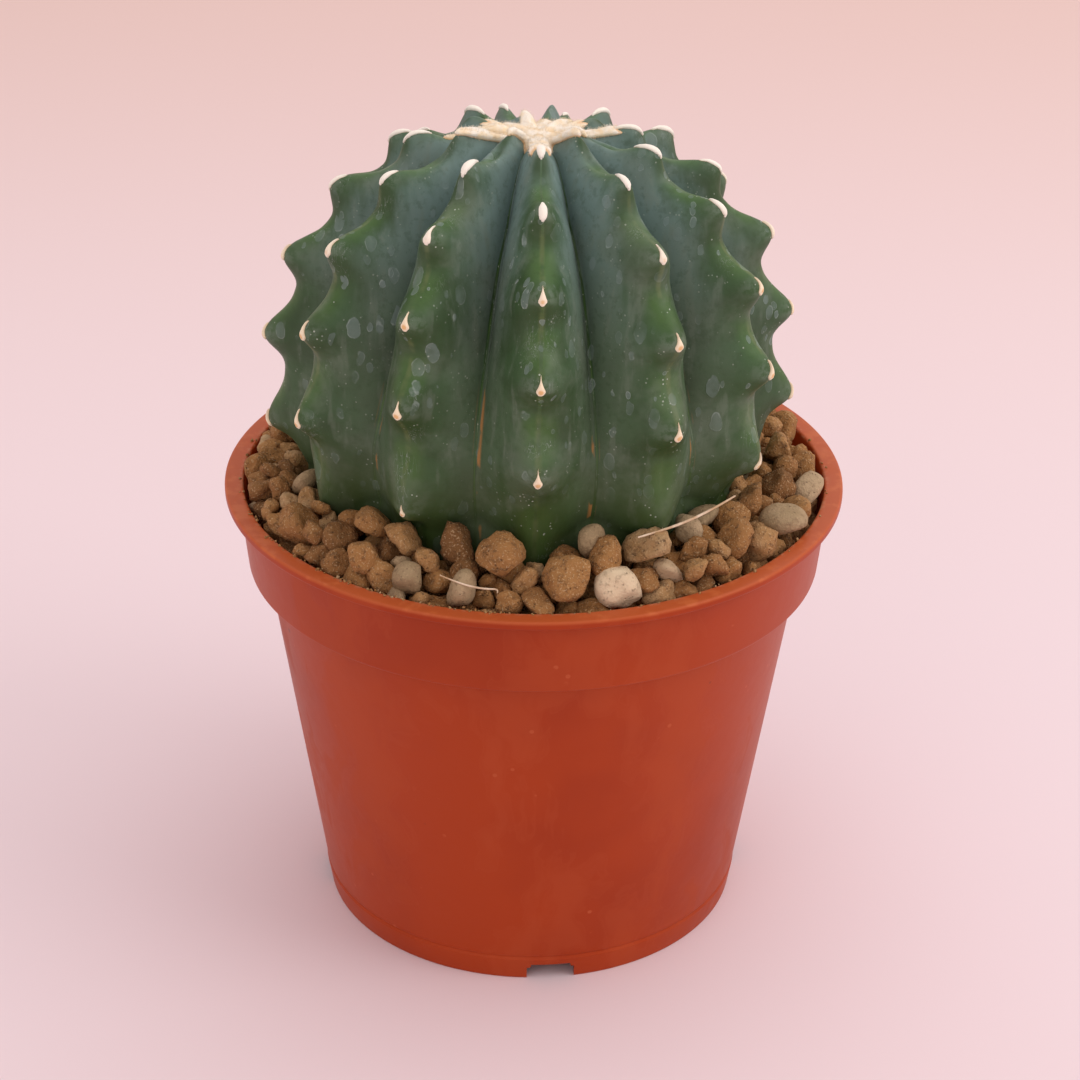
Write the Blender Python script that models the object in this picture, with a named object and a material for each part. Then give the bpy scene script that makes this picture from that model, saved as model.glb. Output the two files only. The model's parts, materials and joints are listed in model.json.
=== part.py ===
# A spineless round cactus in a round nursery pot: the pot, the potting mix, the plant,
# the wool on its crown, and the loose stones and two dry straws of the top dressing.
# Metres, +Z up. The origin is the centre of the pot's base.
import math
import random

import bmesh
import bpy
import numpy as np

# Gap between pieces that touch, and the angle from which an edge is drawn sharp.
FIT_GAP = 0.0003
SHARP_ANGLE = math.radians(40.0)

# Pot, moulded in one piece: a plain taper, a step out to a tall band, and a thin lip.
POT_HEIGHT = 0.0796
LIP_RADIUS = 0.0525
LIP_OVERHANG = 0.00205
LIP_THICKNESS = 0.0014
LIP_EDGE = 0.0004
BAND_HEIGHT = 0.0148
BAND_DRAFT = 0.00155
STEP_WIDTH = 0.0030
BODY_DRAFT = 0.0096
POT_WALL = 0.0011
FLOOR_RISE = 0.0037
FLOOR_THICKNESS = 0.0011
POT_CENTRE = (0.0, 0.0)
POT_SEGMENTS = 72
MIX_SEGMENTS = 48
DRAIN_SEGMENTS = 16

# Drainage: notches through the foot, and a round hole in the floor beside each notch.
NOTCH_COUNT = 4
NOTCH_WIDTH = 0.0082
NOTCH_HEIGHT = 0.0031
NOTCH_TURN = math.radians(6.0)
DRAIN_RADIUS = 0.0040
DRAIN_INSET = 0.0080

# Potting mix under the stones, its top sloping down from the plant to the pot.
MIX_DROP_AT_WALL = 0.0068
MIX_DROP_AT_PLANT = 0.0028

# Plant: widest radius over the ribs, and how far its crown and base lie from that level.
STEM_RADIUS = 0.0440
STEM_LEVEL_OVER_POT = 0.0180
STEM_CROWN_RISE = 0.0480
STEM_BASE_DROP = 0.0298
STEM_SQUARENESS = 2.38
CROWN_DIMPLE = 0.0045
CROWN_DIMPLE_RADIUS = 0.0075

# It stands off the pot's axis, leans a little to the right and to the front as it rises,
# and its crown slopes down towards the back. The slope comes in over a short height.
STEM_OFFSET_X = -0.0014
STEM_OFFSET_Y = 0.0008
STEM_LEAN_X = 0.020
STEM_LEAN_Y = -0.110
CROWN_SLOPE = 0.168
CROWN_SLOPE_START = 0.0150

# Ribs. They stand a little closer together on the far side.
RIB_COUNT = 13
RIB_TURN = math.radians(2.4)
RIB_CROWDING = math.radians(4.5)
FURROW_DEPTH = 0.0133
FURROW_SKEW = 0.66
FURROW_START = 0.025
FURROW_START_POWER = 0.6
FURROW_FADE = 0.0042
CREST_ROUNDING = 0.16
COLUMNS_PER_RIB = 6

# Bumps along each rib, one under every areole, in a spiral from rib to rib.
BUMP_DEPTH = 0.0028
BUMP_SPACING = 0.0151
BUMP_NOTCH = 0.42
BUMP_SHARPNESS = 1.3
BUMP_SPREAD_START = 0.066
BUMP_SPREAD = 0.90
SPIRAL_STEP = 8
SPIRAL_START = 0.0027
ROW_STEP = 0.0037
OUTLINE_STEPS = 1440
NORMAL_STEP = 0.0004

# Taproot under the plant, and the room left round the buried end.
SOCKET_GAP = 0.0006
SOCKET_ROWS = 6
ROOT_TOP_RADIUS = 0.0105
ROOT_SHOULDER = 0.3
ROOT_TIP_RADIUS = 0.0030
ROOT_LENGTH = 0.0300

# Wool on the crown: a star with one arm along each rib.
WOOL_THICKNESS = 0.0015
WOOL_CENTRE_RADIUS = 0.0075
WOOL_ARM_RADIUS = 0.0125
WOOL_GAP = 0.0006
WOOL_ROWS = 4

# Stones: a ring against the pot, and one in the mouth of each furrow.
OUTER_STONES = 36
STONE_SPACING = 0.0008
STONE_FLATNESS = 0.86
STONE_ROUGHNESS = 0.86
STONE_JITTER = 0.35
STONE_POINTS = 30
INNER_STONE_RADIUS = 0.0027
INNER_RING_RADIUS = 0.0376
OUTER_PEBBLE_EVERY = 7
OUTER_PEBBLE_FIRST = 3
INNER_PEBBLE_EVERY = 5

# Two dry straws lying on the stones. A place on the ring is a turn, and a share of the
# stones' radius outwards.
STRAW_RADIUS = 0.00025
STRAW_LIFT = 0.0005
STRAW_POINTS = 9
STRAW_ARCH = 0.25
FRONT_STRAW_START = (math.radians(-17.0), 0.0)
FRONT_STRAW_END = (math.radians(-4.0), 0.5)
FRONT_STRAW_BOW = 0.0010
SIDE_STRAW_START = (math.radians(29.0), -0.2)
SIDE_STRAW_END = (math.radians(53.0), -0.4)
SIDE_STRAW_BOW = -0.0006


def material(name, colour, roughness):
    made = bpy.data.materials.new(name)
    made.use_nodes = True
    shader = made.node_tree.nodes["Principled BSDF"]
    shader.inputs["Base Color"].default_value = (*colour, 1.0)
    shader.inputs["Roughness"].default_value = roughness
    shader.inputs["Metallic"].default_value = 0.0
    made.diffuse_color = (*colour, 1.0)
    return made


def add_object(name, verts, faces, finish):
    mesh = bpy.data.meshes.new(name)
    mesh.from_pydata([tuple(v) for v in verts], [], faces)
    mesh.update()
    mesh.materials.append(finish)
    mesh.shade_smooth()
    mesh.set_sharp_from_angle(angle=SHARP_ANGLE)
    made = bpy.data.objects.new(name, mesh)
    bpy.context.scene.collection.objects.link(made)
    return made


def around(radius, azimuth):
    # Azimuth 0 faces -Y, and it grows towards +X.
    return radius * math.sin(azimuth), -radius * math.cos(azimuth)


def lathe(profile, segments):
    # Turns a profile that starts and ends on its axis, from the bottom up round the outside.
    # Each point is a radius, a height and the centre of its ring.
    verts = [(*profile[0][2], profile[0][1])]
    for radius, height, centre in profile[1:-1]:
        for step in range(segments):
            x, y = around(radius, 2.0 * math.pi * step / segments)
            verts.append((x + centre[0], y + centre[1], height))
    verts.append((*profile[-1][2], profile[-1][1]))
    rings = len(profile) - 2
    last = len(verts) - 1
    faces = []
    for step in range(segments):
        beside = (step + 1) % segments
        faces.append((0, 1 + beside, 1 + step))
        for ring in range(rings - 1):
            low = 1 + ring * segments
            high = low + segments
            faces.append((low + step, low + beside, high + beside, high + step))
        top = 1 + (rings - 1) * segments
        faces.append((top + step, top + beside, last))
    return verts, faces


# Radii of the pot that its neighbours fit to.
band_radius = LIP_RADIUS - LIP_OVERHANG
band_foot_radius = band_radius - BAND_DRAFT
body_radius = band_foot_radius - STEP_WIDTH
base_radius = body_radius - BODY_DRAFT
step_height = POT_HEIGHT - BAND_HEIGHT
floor_top = FLOOR_RISE + FLOOR_THICKNESS


def band_outside(height):
    share = (height - step_height) / BAND_HEIGHT
    return band_foot_radius + share * BAND_DRAFT


def body_outside(height):
    share = height / step_height
    return base_radius + share * BODY_DRAFT


def cut(target, cutter):
    cutter.hide_render = True
    cutter.display_type = "WIRE"
    boolean = target.modifiers.new(cutter.name, "BOOLEAN")
    boolean.operation = "DIFFERENCE"
    boolean.solver = "EXACT"
    boolean.object = cutter


def add_notch_cutter(index, azimuth):
    reach = 4.0 * POT_WALL
    x, y = around(base_radius, azimuth)
    mesh = bpy.data.meshes.new("notch_cutter")
    shape = bmesh.new()
    bmesh.ops.create_cube(shape, size=1.0)
    bmesh.ops.scale(shape, vec=(NOTCH_WIDTH, 2.0 * reach, 2.0 * NOTCH_HEIGHT), verts=shape.verts)
    shape.to_mesh(mesh)
    shape.free()
    made = bpy.data.objects.new(f"notch_cutter_{index}", mesh)
    made.location = (x, y, 0.0)
    made.rotation_euler = (0.0, 0.0, azimuth)
    bpy.context.scene.collection.objects.link(made)
    return made


def add_drain_cutter(index, azimuth):
    x, y = around(base_radius - DRAIN_INSET, azimuth)
    mesh = bpy.data.meshes.new("drain_cutter")
    shape = bmesh.new()
    bmesh.ops.create_cone(
        shape,
        cap_ends=True,
        segments=DRAIN_SEGMENTS,
        radius1=DRAIN_RADIUS,
        radius2=DRAIN_RADIUS,
        depth=4.0 * FLOOR_THICKNESS,
    )
    shape.to_mesh(mesh)
    shape.free()
    made = bpy.data.objects.new(f"drain_cutter_{index}", mesh)
    made.location = (x, y, 0.5 * (FLOOR_RISE + floor_top))
    bpy.context.scene.collection.objects.link(made)
    return made


def add_pot():
    plastic = material("terracotta_plastic", (0.36, 0.052, 0.020), 0.42)
    under_lip = POT_HEIGHT - LIP_THICKNESS
    shelf = step_height + POT_WALL
    profile = [
        (0.0, FLOOR_RISE),
        (body_outside(FLOOR_RISE) - POT_WALL, FLOOR_RISE),
        (base_radius - POT_WALL, 0.0),
        (base_radius, 0.0),
        (body_radius, step_height),
        (band_foot_radius, step_height),
        (band_outside(under_lip), under_lip),
        (LIP_RADIUS - 0.5 * LIP_EDGE, under_lip),
        (LIP_RADIUS, under_lip + LIP_EDGE),
        (LIP_RADIUS, POT_HEIGHT - LIP_EDGE),
        (LIP_RADIUS - LIP_EDGE, POT_HEIGHT),
        (band_radius - POT_WALL + LIP_EDGE, POT_HEIGHT),
        (band_radius - POT_WALL, POT_HEIGHT - LIP_EDGE),
        (band_outside(shelf) - POT_WALL, shelf),
        (body_radius - POT_WALL, shelf),
        (body_outside(step_height) - POT_WALL, step_height),
        (body_outside(floor_top) - POT_WALL, floor_top),
        (0.0, floor_top),
    ]
    verts, faces = lathe([(*point, POT_CENTRE) for point in profile], POT_SEGMENTS)
    pot = add_object("pot", verts, faces, plastic)
    for index in range(NOTCH_COUNT):
        azimuth = NOTCH_TURN + 2.0 * math.pi * index / NOTCH_COUNT
        cut(pot, add_notch_cutter(index, azimuth))
        cut(pot, add_drain_cutter(index, azimuth))
    return pot


# The plant's outline over its rib tips, read by distance along it from the crown.
stem_level = POT_HEIGHT + STEM_LEVEL_OVER_POT


def outline_table():
    angle = np.radians(np.linspace(90.0, -90.0, OUTLINE_STEPS + 1))
    power = 2.0 / STEM_SQUARENESS
    across = np.cos(angle).clip(0.0) ** power
    along = np.sign(angle) * np.abs(np.sin(angle)) ** power
    radius = STEM_RADIUS * across
    height = stem_level + np.where(angle > 0.0, STEM_CROWN_RISE, STEM_BASE_DROP) * along
    height -= CROWN_DIMPLE * np.exp(-((radius / CROWN_DIMPLE_RADIUS) ** 2)) * (angle > 0.0)
    steps = np.hypot(np.diff(radius), np.diff(height))
    distance = np.concatenate([[0.0], np.cumsum(steps)])
    return distance, radius, height


outline_distance, outline_radius, outline_height = outline_table()
outline_length = outline_distance[-1]
lower_half = outline_distance > 0.5 * outline_length
mix_wall_height = POT_HEIGHT - MIX_DROP_AT_WALL
mix_plant_height = POT_HEIGHT - MIX_DROP_AT_PLANT


def outline_at(distance):
    radius = float(np.interp(distance, outline_distance, outline_radius))
    height = float(np.interp(distance, outline_distance, outline_height))
    return radius, height


def outline_normal(distance):
    r0, z0 = outline_at(max(distance - NORMAL_STEP, 0.0))
    r1, z1 = outline_at(min(distance + NORMAL_STEP, outline_length))
    run = math.hypot(r1 - r0, z1 - z0)
    return (z0 - z1) / run, (r1 - r0) / run


def outline_radius_below(height):
    # The outline's radius at a height on its lower half.
    return float(np.interp(-height, -outline_height[lower_half], outline_radius[lower_half]))


def distance_below(height):
    # How far down the outline its lower half comes to a height.
    return float(np.interp(-height, -outline_height[lower_half], outline_distance[lower_half]))


def rib_azimuth(rib):
    turn = 2.0 * math.pi * rib / RIB_COUNT
    return RIB_TURN + turn + RIB_CROWDING * math.sin(turn)


def bump_phase(rib, distance):
    # Counts areoles down the rib: whole numbers fall on them.
    start = SPIRAL_START + rib * SPIRAL_STEP * BUMP_SPACING / RIB_COUNT
    beyond = max(0.0, distance - BUMP_SPREAD_START)
    spread = distance - beyond * (1.0 - BUMP_SPREAD)
    return (spread - start) / BUMP_SPACING


def bump_height(phase):
    # 1 at an areole, falling to the notch under it and swelling more slowly to the next.
    share = phase - math.floor(phase)
    if share < BUMP_NOTCH:
        away = share / BUMP_NOTCH
    else:
        away = (1.0 - share) / (1.0 - BUMP_NOTCH)
    return (0.5 + 0.5 * math.cos(math.pi * away)) ** BUMP_SHARPNESS


def flank(share):
    # 1 on the crest and 0 in the furrow, with a rounded crest and nearly flat flanks.
    full = math.hypot(1.0, CREST_ROUNDING) - CREST_ROUNDING
    return 1.0 - (math.hypot(share, CREST_ROUNDING) - CREST_ROUNDING) / full


def furrow_depth(distance):
    # Deepest on the shoulder, closing up towards the crown and fading towards the base.
    swell = math.sin(math.pi * (distance / outline_length) ** FURROW_SKEW)
    return FURROW_DEPTH * swell * min(1.0, distance / FURROW_START) ** FURROW_START_POWER


def leaned(x, y, z):
    # Where a point of the upright plant comes to as the plant stands in the pot.
    above = max(0.0, z - mix_plant_height)
    slope = CROWN_SLOPE * min(1.0, above / CROWN_SLOPE_START)
    return x + STEM_OFFSET_X + STEM_LEAN_X * above, y + STEM_OFFSET_Y + STEM_LEAN_Y * above, z - slope * y


def stem_point(rib, side, distance):
    # side runs from -1 to 1 between the furrows on either side of the rib.
    radius, height = outline_at(distance)
    out, up = outline_normal(distance)
    above = (height - mix_plant_height) / FURROW_FADE
    fade = 1.0 if distance < 0.5 * outline_length else min(1.0, max(0.0, above))
    depth = furrow_depth(distance)
    crest = flank(abs(side))
    notch = BUMP_DEPTH * (1.0 - bump_height(bump_phase(rib, distance))) * crest
    notch *= min(1.0, distance / BUMP_SPACING)
    sunk = fade * (depth * (1.0 - crest) + notch)
    beside = rib_azimuth(rib + (1 if side > 0.0 else -1))
    azimuth = rib_azimuth(rib) + 0.5 * abs(side) * (beside - rib_azimuth(rib))
    return leaned(*around(radius - sunk * out, azimuth), height - sunk * up)


def add_stem():
    skin = material("waxy_skin", (0.045, 0.105, 0.075), 0.55)
    root_start = outline_length - ROOT_TOP_RADIUS
    rows = int(root_start / ROW_STEP)
    columns = RIB_COUNT * COLUMNS_PER_RIB
    half = COLUMNS_PER_RIB // 2
    verts = []
    for row in range(1, rows + 1):
        distance = root_start * row / rows
        for column in range(columns):
            rib, place = divmod(column, COLUMNS_PER_RIB)
            side = place / half
            if side > 1.0:
                verts.append(stem_point(rib + 1, side - 2.0, distance))
            else:
                verts.append(stem_point(rib, side, distance))
    root_top = outline_at(root_start)[1]
    for share in (ROOT_SHOULDER, 1.0):
        radius = ROOT_TOP_RADIUS + share * (ROOT_TIP_RADIUS - ROOT_TOP_RADIUS)
        for column in range(columns):
            azimuth = rib_azimuth(column / COLUMNS_PER_RIB)
            x, y = around(radius, azimuth)
            verts.append((x + STEM_OFFSET_X, y + STEM_OFFSET_Y, root_top - share * ROOT_LENGTH))
    crown = stem_point(0, 0.0, 0.0)
    rings = len(verts) // columns
    faces = []
    for ring in range(rings - 1):
        for column in range(columns):
            beside = (column + 1) % columns
            low = (ring + 1) * columns
            high = ring * columns
            faces.append((low + column, low + beside, high + beside, high + column))
    verts.append(crown)
    verts.append((STEM_OFFSET_X, STEM_OFFSET_Y, root_top - ROOT_LENGTH))
    top = len(verts) - 2
    tip = len(verts) - 1
    last = (rings - 1) * columns
    for column in range(columns):
        beside = (column + 1) % columns
        faces.append((column, beside, top))
        faces.append((last + beside, last + column, tip))
    return add_object("cactus_stem", verts, faces, skin)


def add_wool():
    wool = material("crown_wool", (0.72, 0.62, 0.44), 0.95)
    columns = 2 * RIB_COUNT
    sheets = []
    for lift in (WOOL_GAP, WOOL_GAP + WOOL_THICKNESS):
        sheet = []
        for row in range(1, WOOL_ROWS + 1):
            for column in range(columns):
                reach = WOOL_CENTRE_RADIUS if column % 2 else WOOL_ARM_RADIUS
                distance = reach * row / WOOL_ROWS
                radius, height = outline_at(distance)
                out, up = outline_normal(distance)
                x, y = around(radius + lift * out, rib_azimuth(0.5 * column))
                sheet.append(leaned(x, y, height + lift * up))
        x, y, z = stem_point(0, 0.0, 0.0)
        sheet.append((x, y, z + lift))
        sheets.append(sheet)
    verts = sheets[0] + sheets[1]
    above = len(sheets[0])
    centre = above - 1
    rim = (WOOL_ROWS - 1) * columns
    faces = []
    for column in range(columns):
        beside = (column + 1) % columns
        faces.append((beside, column, centre))
        faces.append((above + column, above + beside, above + centre))
        for row in range(WOOL_ROWS - 1):
            near = row * columns
            far = near + columns
            faces.append((near + column, near + beside, far + beside, far + column))
            faces.append(
                (above + far + column, above + far + beside, above + near + beside, above + near + column)
            )
        faces.append((rim + column, rim + beside, above + rim + beside, above + rim + column))
    return add_object("crown_wool", verts, faces, wool)


# The potting mix fits the pot's inside, with its top on a slope.
mix_wall_radius = band_outside(mix_wall_height) - POT_WALL - FIT_GAP
mix_plant_radius = outline_radius_below(mix_plant_height) + SOCKET_GAP


def mix_top(radius):
    share = (radius - mix_plant_radius) / (mix_wall_radius - mix_plant_radius)
    return mix_plant_height + share * (mix_wall_height - mix_plant_height)


def add_mix():
    soil = material("potting_mix", (0.10, 0.060, 0.035), 0.95)
    shelf = step_height + POT_WALL + FIT_GAP
    root_start = outline_length - ROOT_TOP_RADIUS
    root_top = outline_at(root_start)[1]
    outside = [
        (0.0, floor_top + FIT_GAP),
        (body_outside(floor_top) - POT_WALL - FIT_GAP, floor_top + FIT_GAP),
        (body_outside(step_height) - POT_WALL - FIT_GAP, step_height),
        (body_radius - POT_WALL - FIT_GAP, shelf),
        (band_outside(shelf) - POT_WALL - FIT_GAP, shelf),
        (mix_wall_radius, mix_wall_height),
    ]
    socket = [(mix_plant_radius, mix_plant_height)]
    socket_start = distance_below(mix_plant_height)
    for row in range(1, SOCKET_ROWS):
        distance = socket_start + (root_start - socket_start) * row / SOCKET_ROWS
        radius, height = outline_at(distance)
        out, up = outline_normal(distance)
        socket.append((radius + SOCKET_GAP * out, height + SOCKET_GAP * up))
    root_radius = outline_at(root_start)[0]
    socket.append((root_radius + SOCKET_GAP, root_top - SOCKET_GAP))
    socket.append((ROOT_TIP_RADIUS + SOCKET_GAP, root_top - ROOT_LENGTH - SOCKET_GAP))
    socket.append((0.0, root_top - ROOT_LENGTH - SOCKET_GAP))
    profile = [(*point, POT_CENTRE) for point in outside]
    profile += [(*point, (STEM_OFFSET_X, STEM_OFFSET_Y)) for point in socket]
    verts, faces = lathe(profile, MIX_SEGMENTS)
    return add_object("potting_mix", verts, faces, soil)


def add_stone(name, azimuth, ring, size, finish, seed, centre):
    # A convex lump: the hull of points strewn over a flattened ball.
    dice = random.Random(seed)
    x, y = around(ring, azimuth)
    x += centre[0]
    y += centre[1]
    slope = (mix_plant_height - mix_wall_height) / (mix_wall_radius - mix_plant_radius)
    rest = mix_top(ring) + FIT_GAP + size * math.hypot(STONE_FLATNESS, slope)
    tall = size * STONE_FLATNESS
    wide = size
    deep = size * dice.uniform(STONE_ROUGHNESS, 1.0)
    spin = dice.uniform(0.0, math.pi)
    shape = bmesh.new()
    for index in range(STONE_POINTS):
        up = 1.0 - 2.0 * (index + 0.5) / STONE_POINTS
        round_it = index * math.pi * (3.0 - math.sqrt(5.0)) + dice.uniform(-STONE_JITTER, STONE_JITTER)
        flat = math.sqrt(1.0 - up * up)
        reach = dice.uniform(STONE_ROUGHNESS, 1.0)
        px = wide * reach * flat * math.cos(round_it)
        py = deep * reach * flat * math.sin(round_it)
        shape.verts.new(
            (
                x + px * math.cos(spin) - py * math.sin(spin),
                y + px * math.sin(spin) + py * math.cos(spin),
                rest + tall * reach * up,
            )
        )
    made = bmesh.ops.convex_hull(shape, input=shape.verts, use_existing_faces=False)
    inside = [v for v in made["geom_interior"] if isinstance(v, bmesh.types.BMVert)]
    bmesh.ops.delete(shape, geom=inside, context="VERTS")
    bmesh.ops.recalc_face_normals(shape, faces=shape.faces)
    mesh = bpy.data.meshes.new(name)
    shape.to_mesh(mesh)
    shape.free()
    mesh.materials.append(finish)
    stone = bpy.data.objects.new(name, mesh)
    bpy.context.scene.collection.objects.link(stone)
    return stone


def add_stones():
    clay = material("fired_clay", (0.34, 0.20, 0.09), 0.92)
    pebble = material("pale_pebble", (0.36, 0.30, 0.23), 0.80)
    # The outer ring's stones fill it side by side, and lean on the pot.
    pitch = math.pi / OUTER_STONES
    inside = band_outside(POT_HEIGHT - LIP_THICKNESS) - POT_WALL - FIT_GAP
    size = (inside * math.sin(pitch) - 0.5 * STONE_SPACING) / (1.0 + math.sin(pitch))
    ring = inside - size - STONE_SPACING
    for index in range(OUTER_STONES):
        finish = pebble if index % OUTER_PEBBLE_EVERY == OUTER_PEBBLE_FIRST else clay
        name = f"stone_outer_{index + 1:02d}"
        add_stone(name, 2.0 * pitch * index, ring, size, finish, index, POT_CENTRE)
    for rib in range(RIB_COUNT):
        azimuth = 0.5 * (rib_azimuth(rib) + rib_azimuth(rib + 1))
        name = f"stone_inner_{rib + 1:02d}"
        finish = pebble if rib % INNER_PEBBLE_EVERY == 0 else clay
        seed = OUTER_STONES + rib
        centre = (STEM_OFFSET_X, STEM_OFFSET_Y)
        add_stone(name, azimuth, INNER_RING_RADIUS, INNER_STONE_RADIUS, finish, seed, centre)
    return ring, size


def add_straw(name, start, end, bow, ring, size, finish):
    # A thin stalk, bowed sideways and upwards, as a bevelled curve with closed ends.
    data = bpy.data.curves.new(name, "CURVE")
    data.dimensions = "3D"
    data.bevel_depth = STRAW_RADIUS
    data.bevel_resolution = 1
    data.use_fill_caps = True
    line = data.splines.new("POLY")
    line.points.add(STRAW_POINTS - 1)
    height = mix_top(ring) + 2.0 * size + STRAW_LIFT
    x0, y0 = around(ring + start[1] * size, start[0])
    x1, y1 = around(ring + end[1] * size, end[0])
    run = math.hypot(x1 - x0, y1 - y0)
    for index in range(STRAW_POINTS):
        share = index / (STRAW_POINTS - 1)
        arch = bow * math.sin(math.pi * share)
        x = x0 + share * (x1 - x0) - arch * (y1 - y0) / run
        y = y0 + share * (y1 - y0) + arch * (x1 - x0) / run
        line.points[index].co = (x, y, height + STRAW_ARCH * abs(arch), 1.0)
    data.materials.append(finish)
    straw = bpy.data.objects.new(name, data)
    bpy.context.scene.collection.objects.link(straw)
    return straw


for old in list(bpy.data.objects):
    bpy.data.objects.remove(old)
add_pot()
add_mix()
add_stem()
add_wool()
stone_ring, stone_size = add_stones()
straw = material("dry_straw", (0.55, 0.40, 0.22), 0.80)
add_straw("straw_front", FRONT_STRAW_START, FRONT_STRAW_END, FRONT_STRAW_BOW, stone_ring, stone_size, straw)
add_straw("straw_side", SIDE_STRAW_START, SIDE_STRAW_END, SIDE_STRAW_BOW, stone_ring, stone_size, straw)
print(f"{len(bpy.data.objects)} objects, outer stones {1000.0 * stone_size:.2f} mm in radius")
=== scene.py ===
import json
import math

import bmesh
import bpy
import numpy as np
from mathutils import Matrix, Vector
from mathutils.bvhtree import BVHTree

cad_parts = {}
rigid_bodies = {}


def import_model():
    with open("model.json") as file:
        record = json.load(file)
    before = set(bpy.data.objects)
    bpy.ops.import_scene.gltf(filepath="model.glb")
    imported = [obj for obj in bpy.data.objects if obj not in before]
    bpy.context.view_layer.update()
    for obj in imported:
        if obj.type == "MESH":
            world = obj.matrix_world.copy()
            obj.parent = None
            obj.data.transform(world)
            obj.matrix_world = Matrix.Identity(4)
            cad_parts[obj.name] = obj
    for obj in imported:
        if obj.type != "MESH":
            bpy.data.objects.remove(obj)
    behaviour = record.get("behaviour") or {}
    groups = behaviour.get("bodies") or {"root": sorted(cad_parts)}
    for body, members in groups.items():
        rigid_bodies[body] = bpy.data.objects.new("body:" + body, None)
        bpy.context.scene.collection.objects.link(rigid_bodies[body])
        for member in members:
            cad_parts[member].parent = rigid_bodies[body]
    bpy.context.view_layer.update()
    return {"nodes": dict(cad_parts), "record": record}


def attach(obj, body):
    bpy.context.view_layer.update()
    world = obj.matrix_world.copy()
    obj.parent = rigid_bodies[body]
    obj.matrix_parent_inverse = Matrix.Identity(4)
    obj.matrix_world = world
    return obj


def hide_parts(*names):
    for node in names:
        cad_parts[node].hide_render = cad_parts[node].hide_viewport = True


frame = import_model()
scene = bpy.context.scene
mm = 0.001


# An operator and its reflected form, as Math nodes.
def bothWays(operation):
    forward = lambda wire, other: wire.graph.sum(operation, wire, other)
    reflected = lambda wire, other: wire.graph.sum(operation, other, wire)
    return forward, reflected


# A socket that takes part in sums.
class Wire:
    __add__, __radd__ = bothWays("ADD")
    __sub__, __rsub__ = bothWays("SUBTRACT")
    __mul__, __rmul__ = bothWays("MULTIPLY")
    __truediv__, __rtruediv__ = bothWays("DIVIDE")
    __pow__, __rpow__ = bothWays("POWER")

    def __init__(self, graph, socket):
        self.graph, self.socket = graph, socket

    def __abs__(self):
        return self.do("ABSOLUTE")

    def atLeast(self, other):
        return self.do("MAXIMUM", other)

    def atMost(self, other):
        return self.do("MINIMUM", other)

    def do(self, operation, *others):
        return self.graph.sum(operation, self, *others)

    def also(self, name):
        return Wire(self.graph, self.socket.node.outputs[name])


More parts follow.
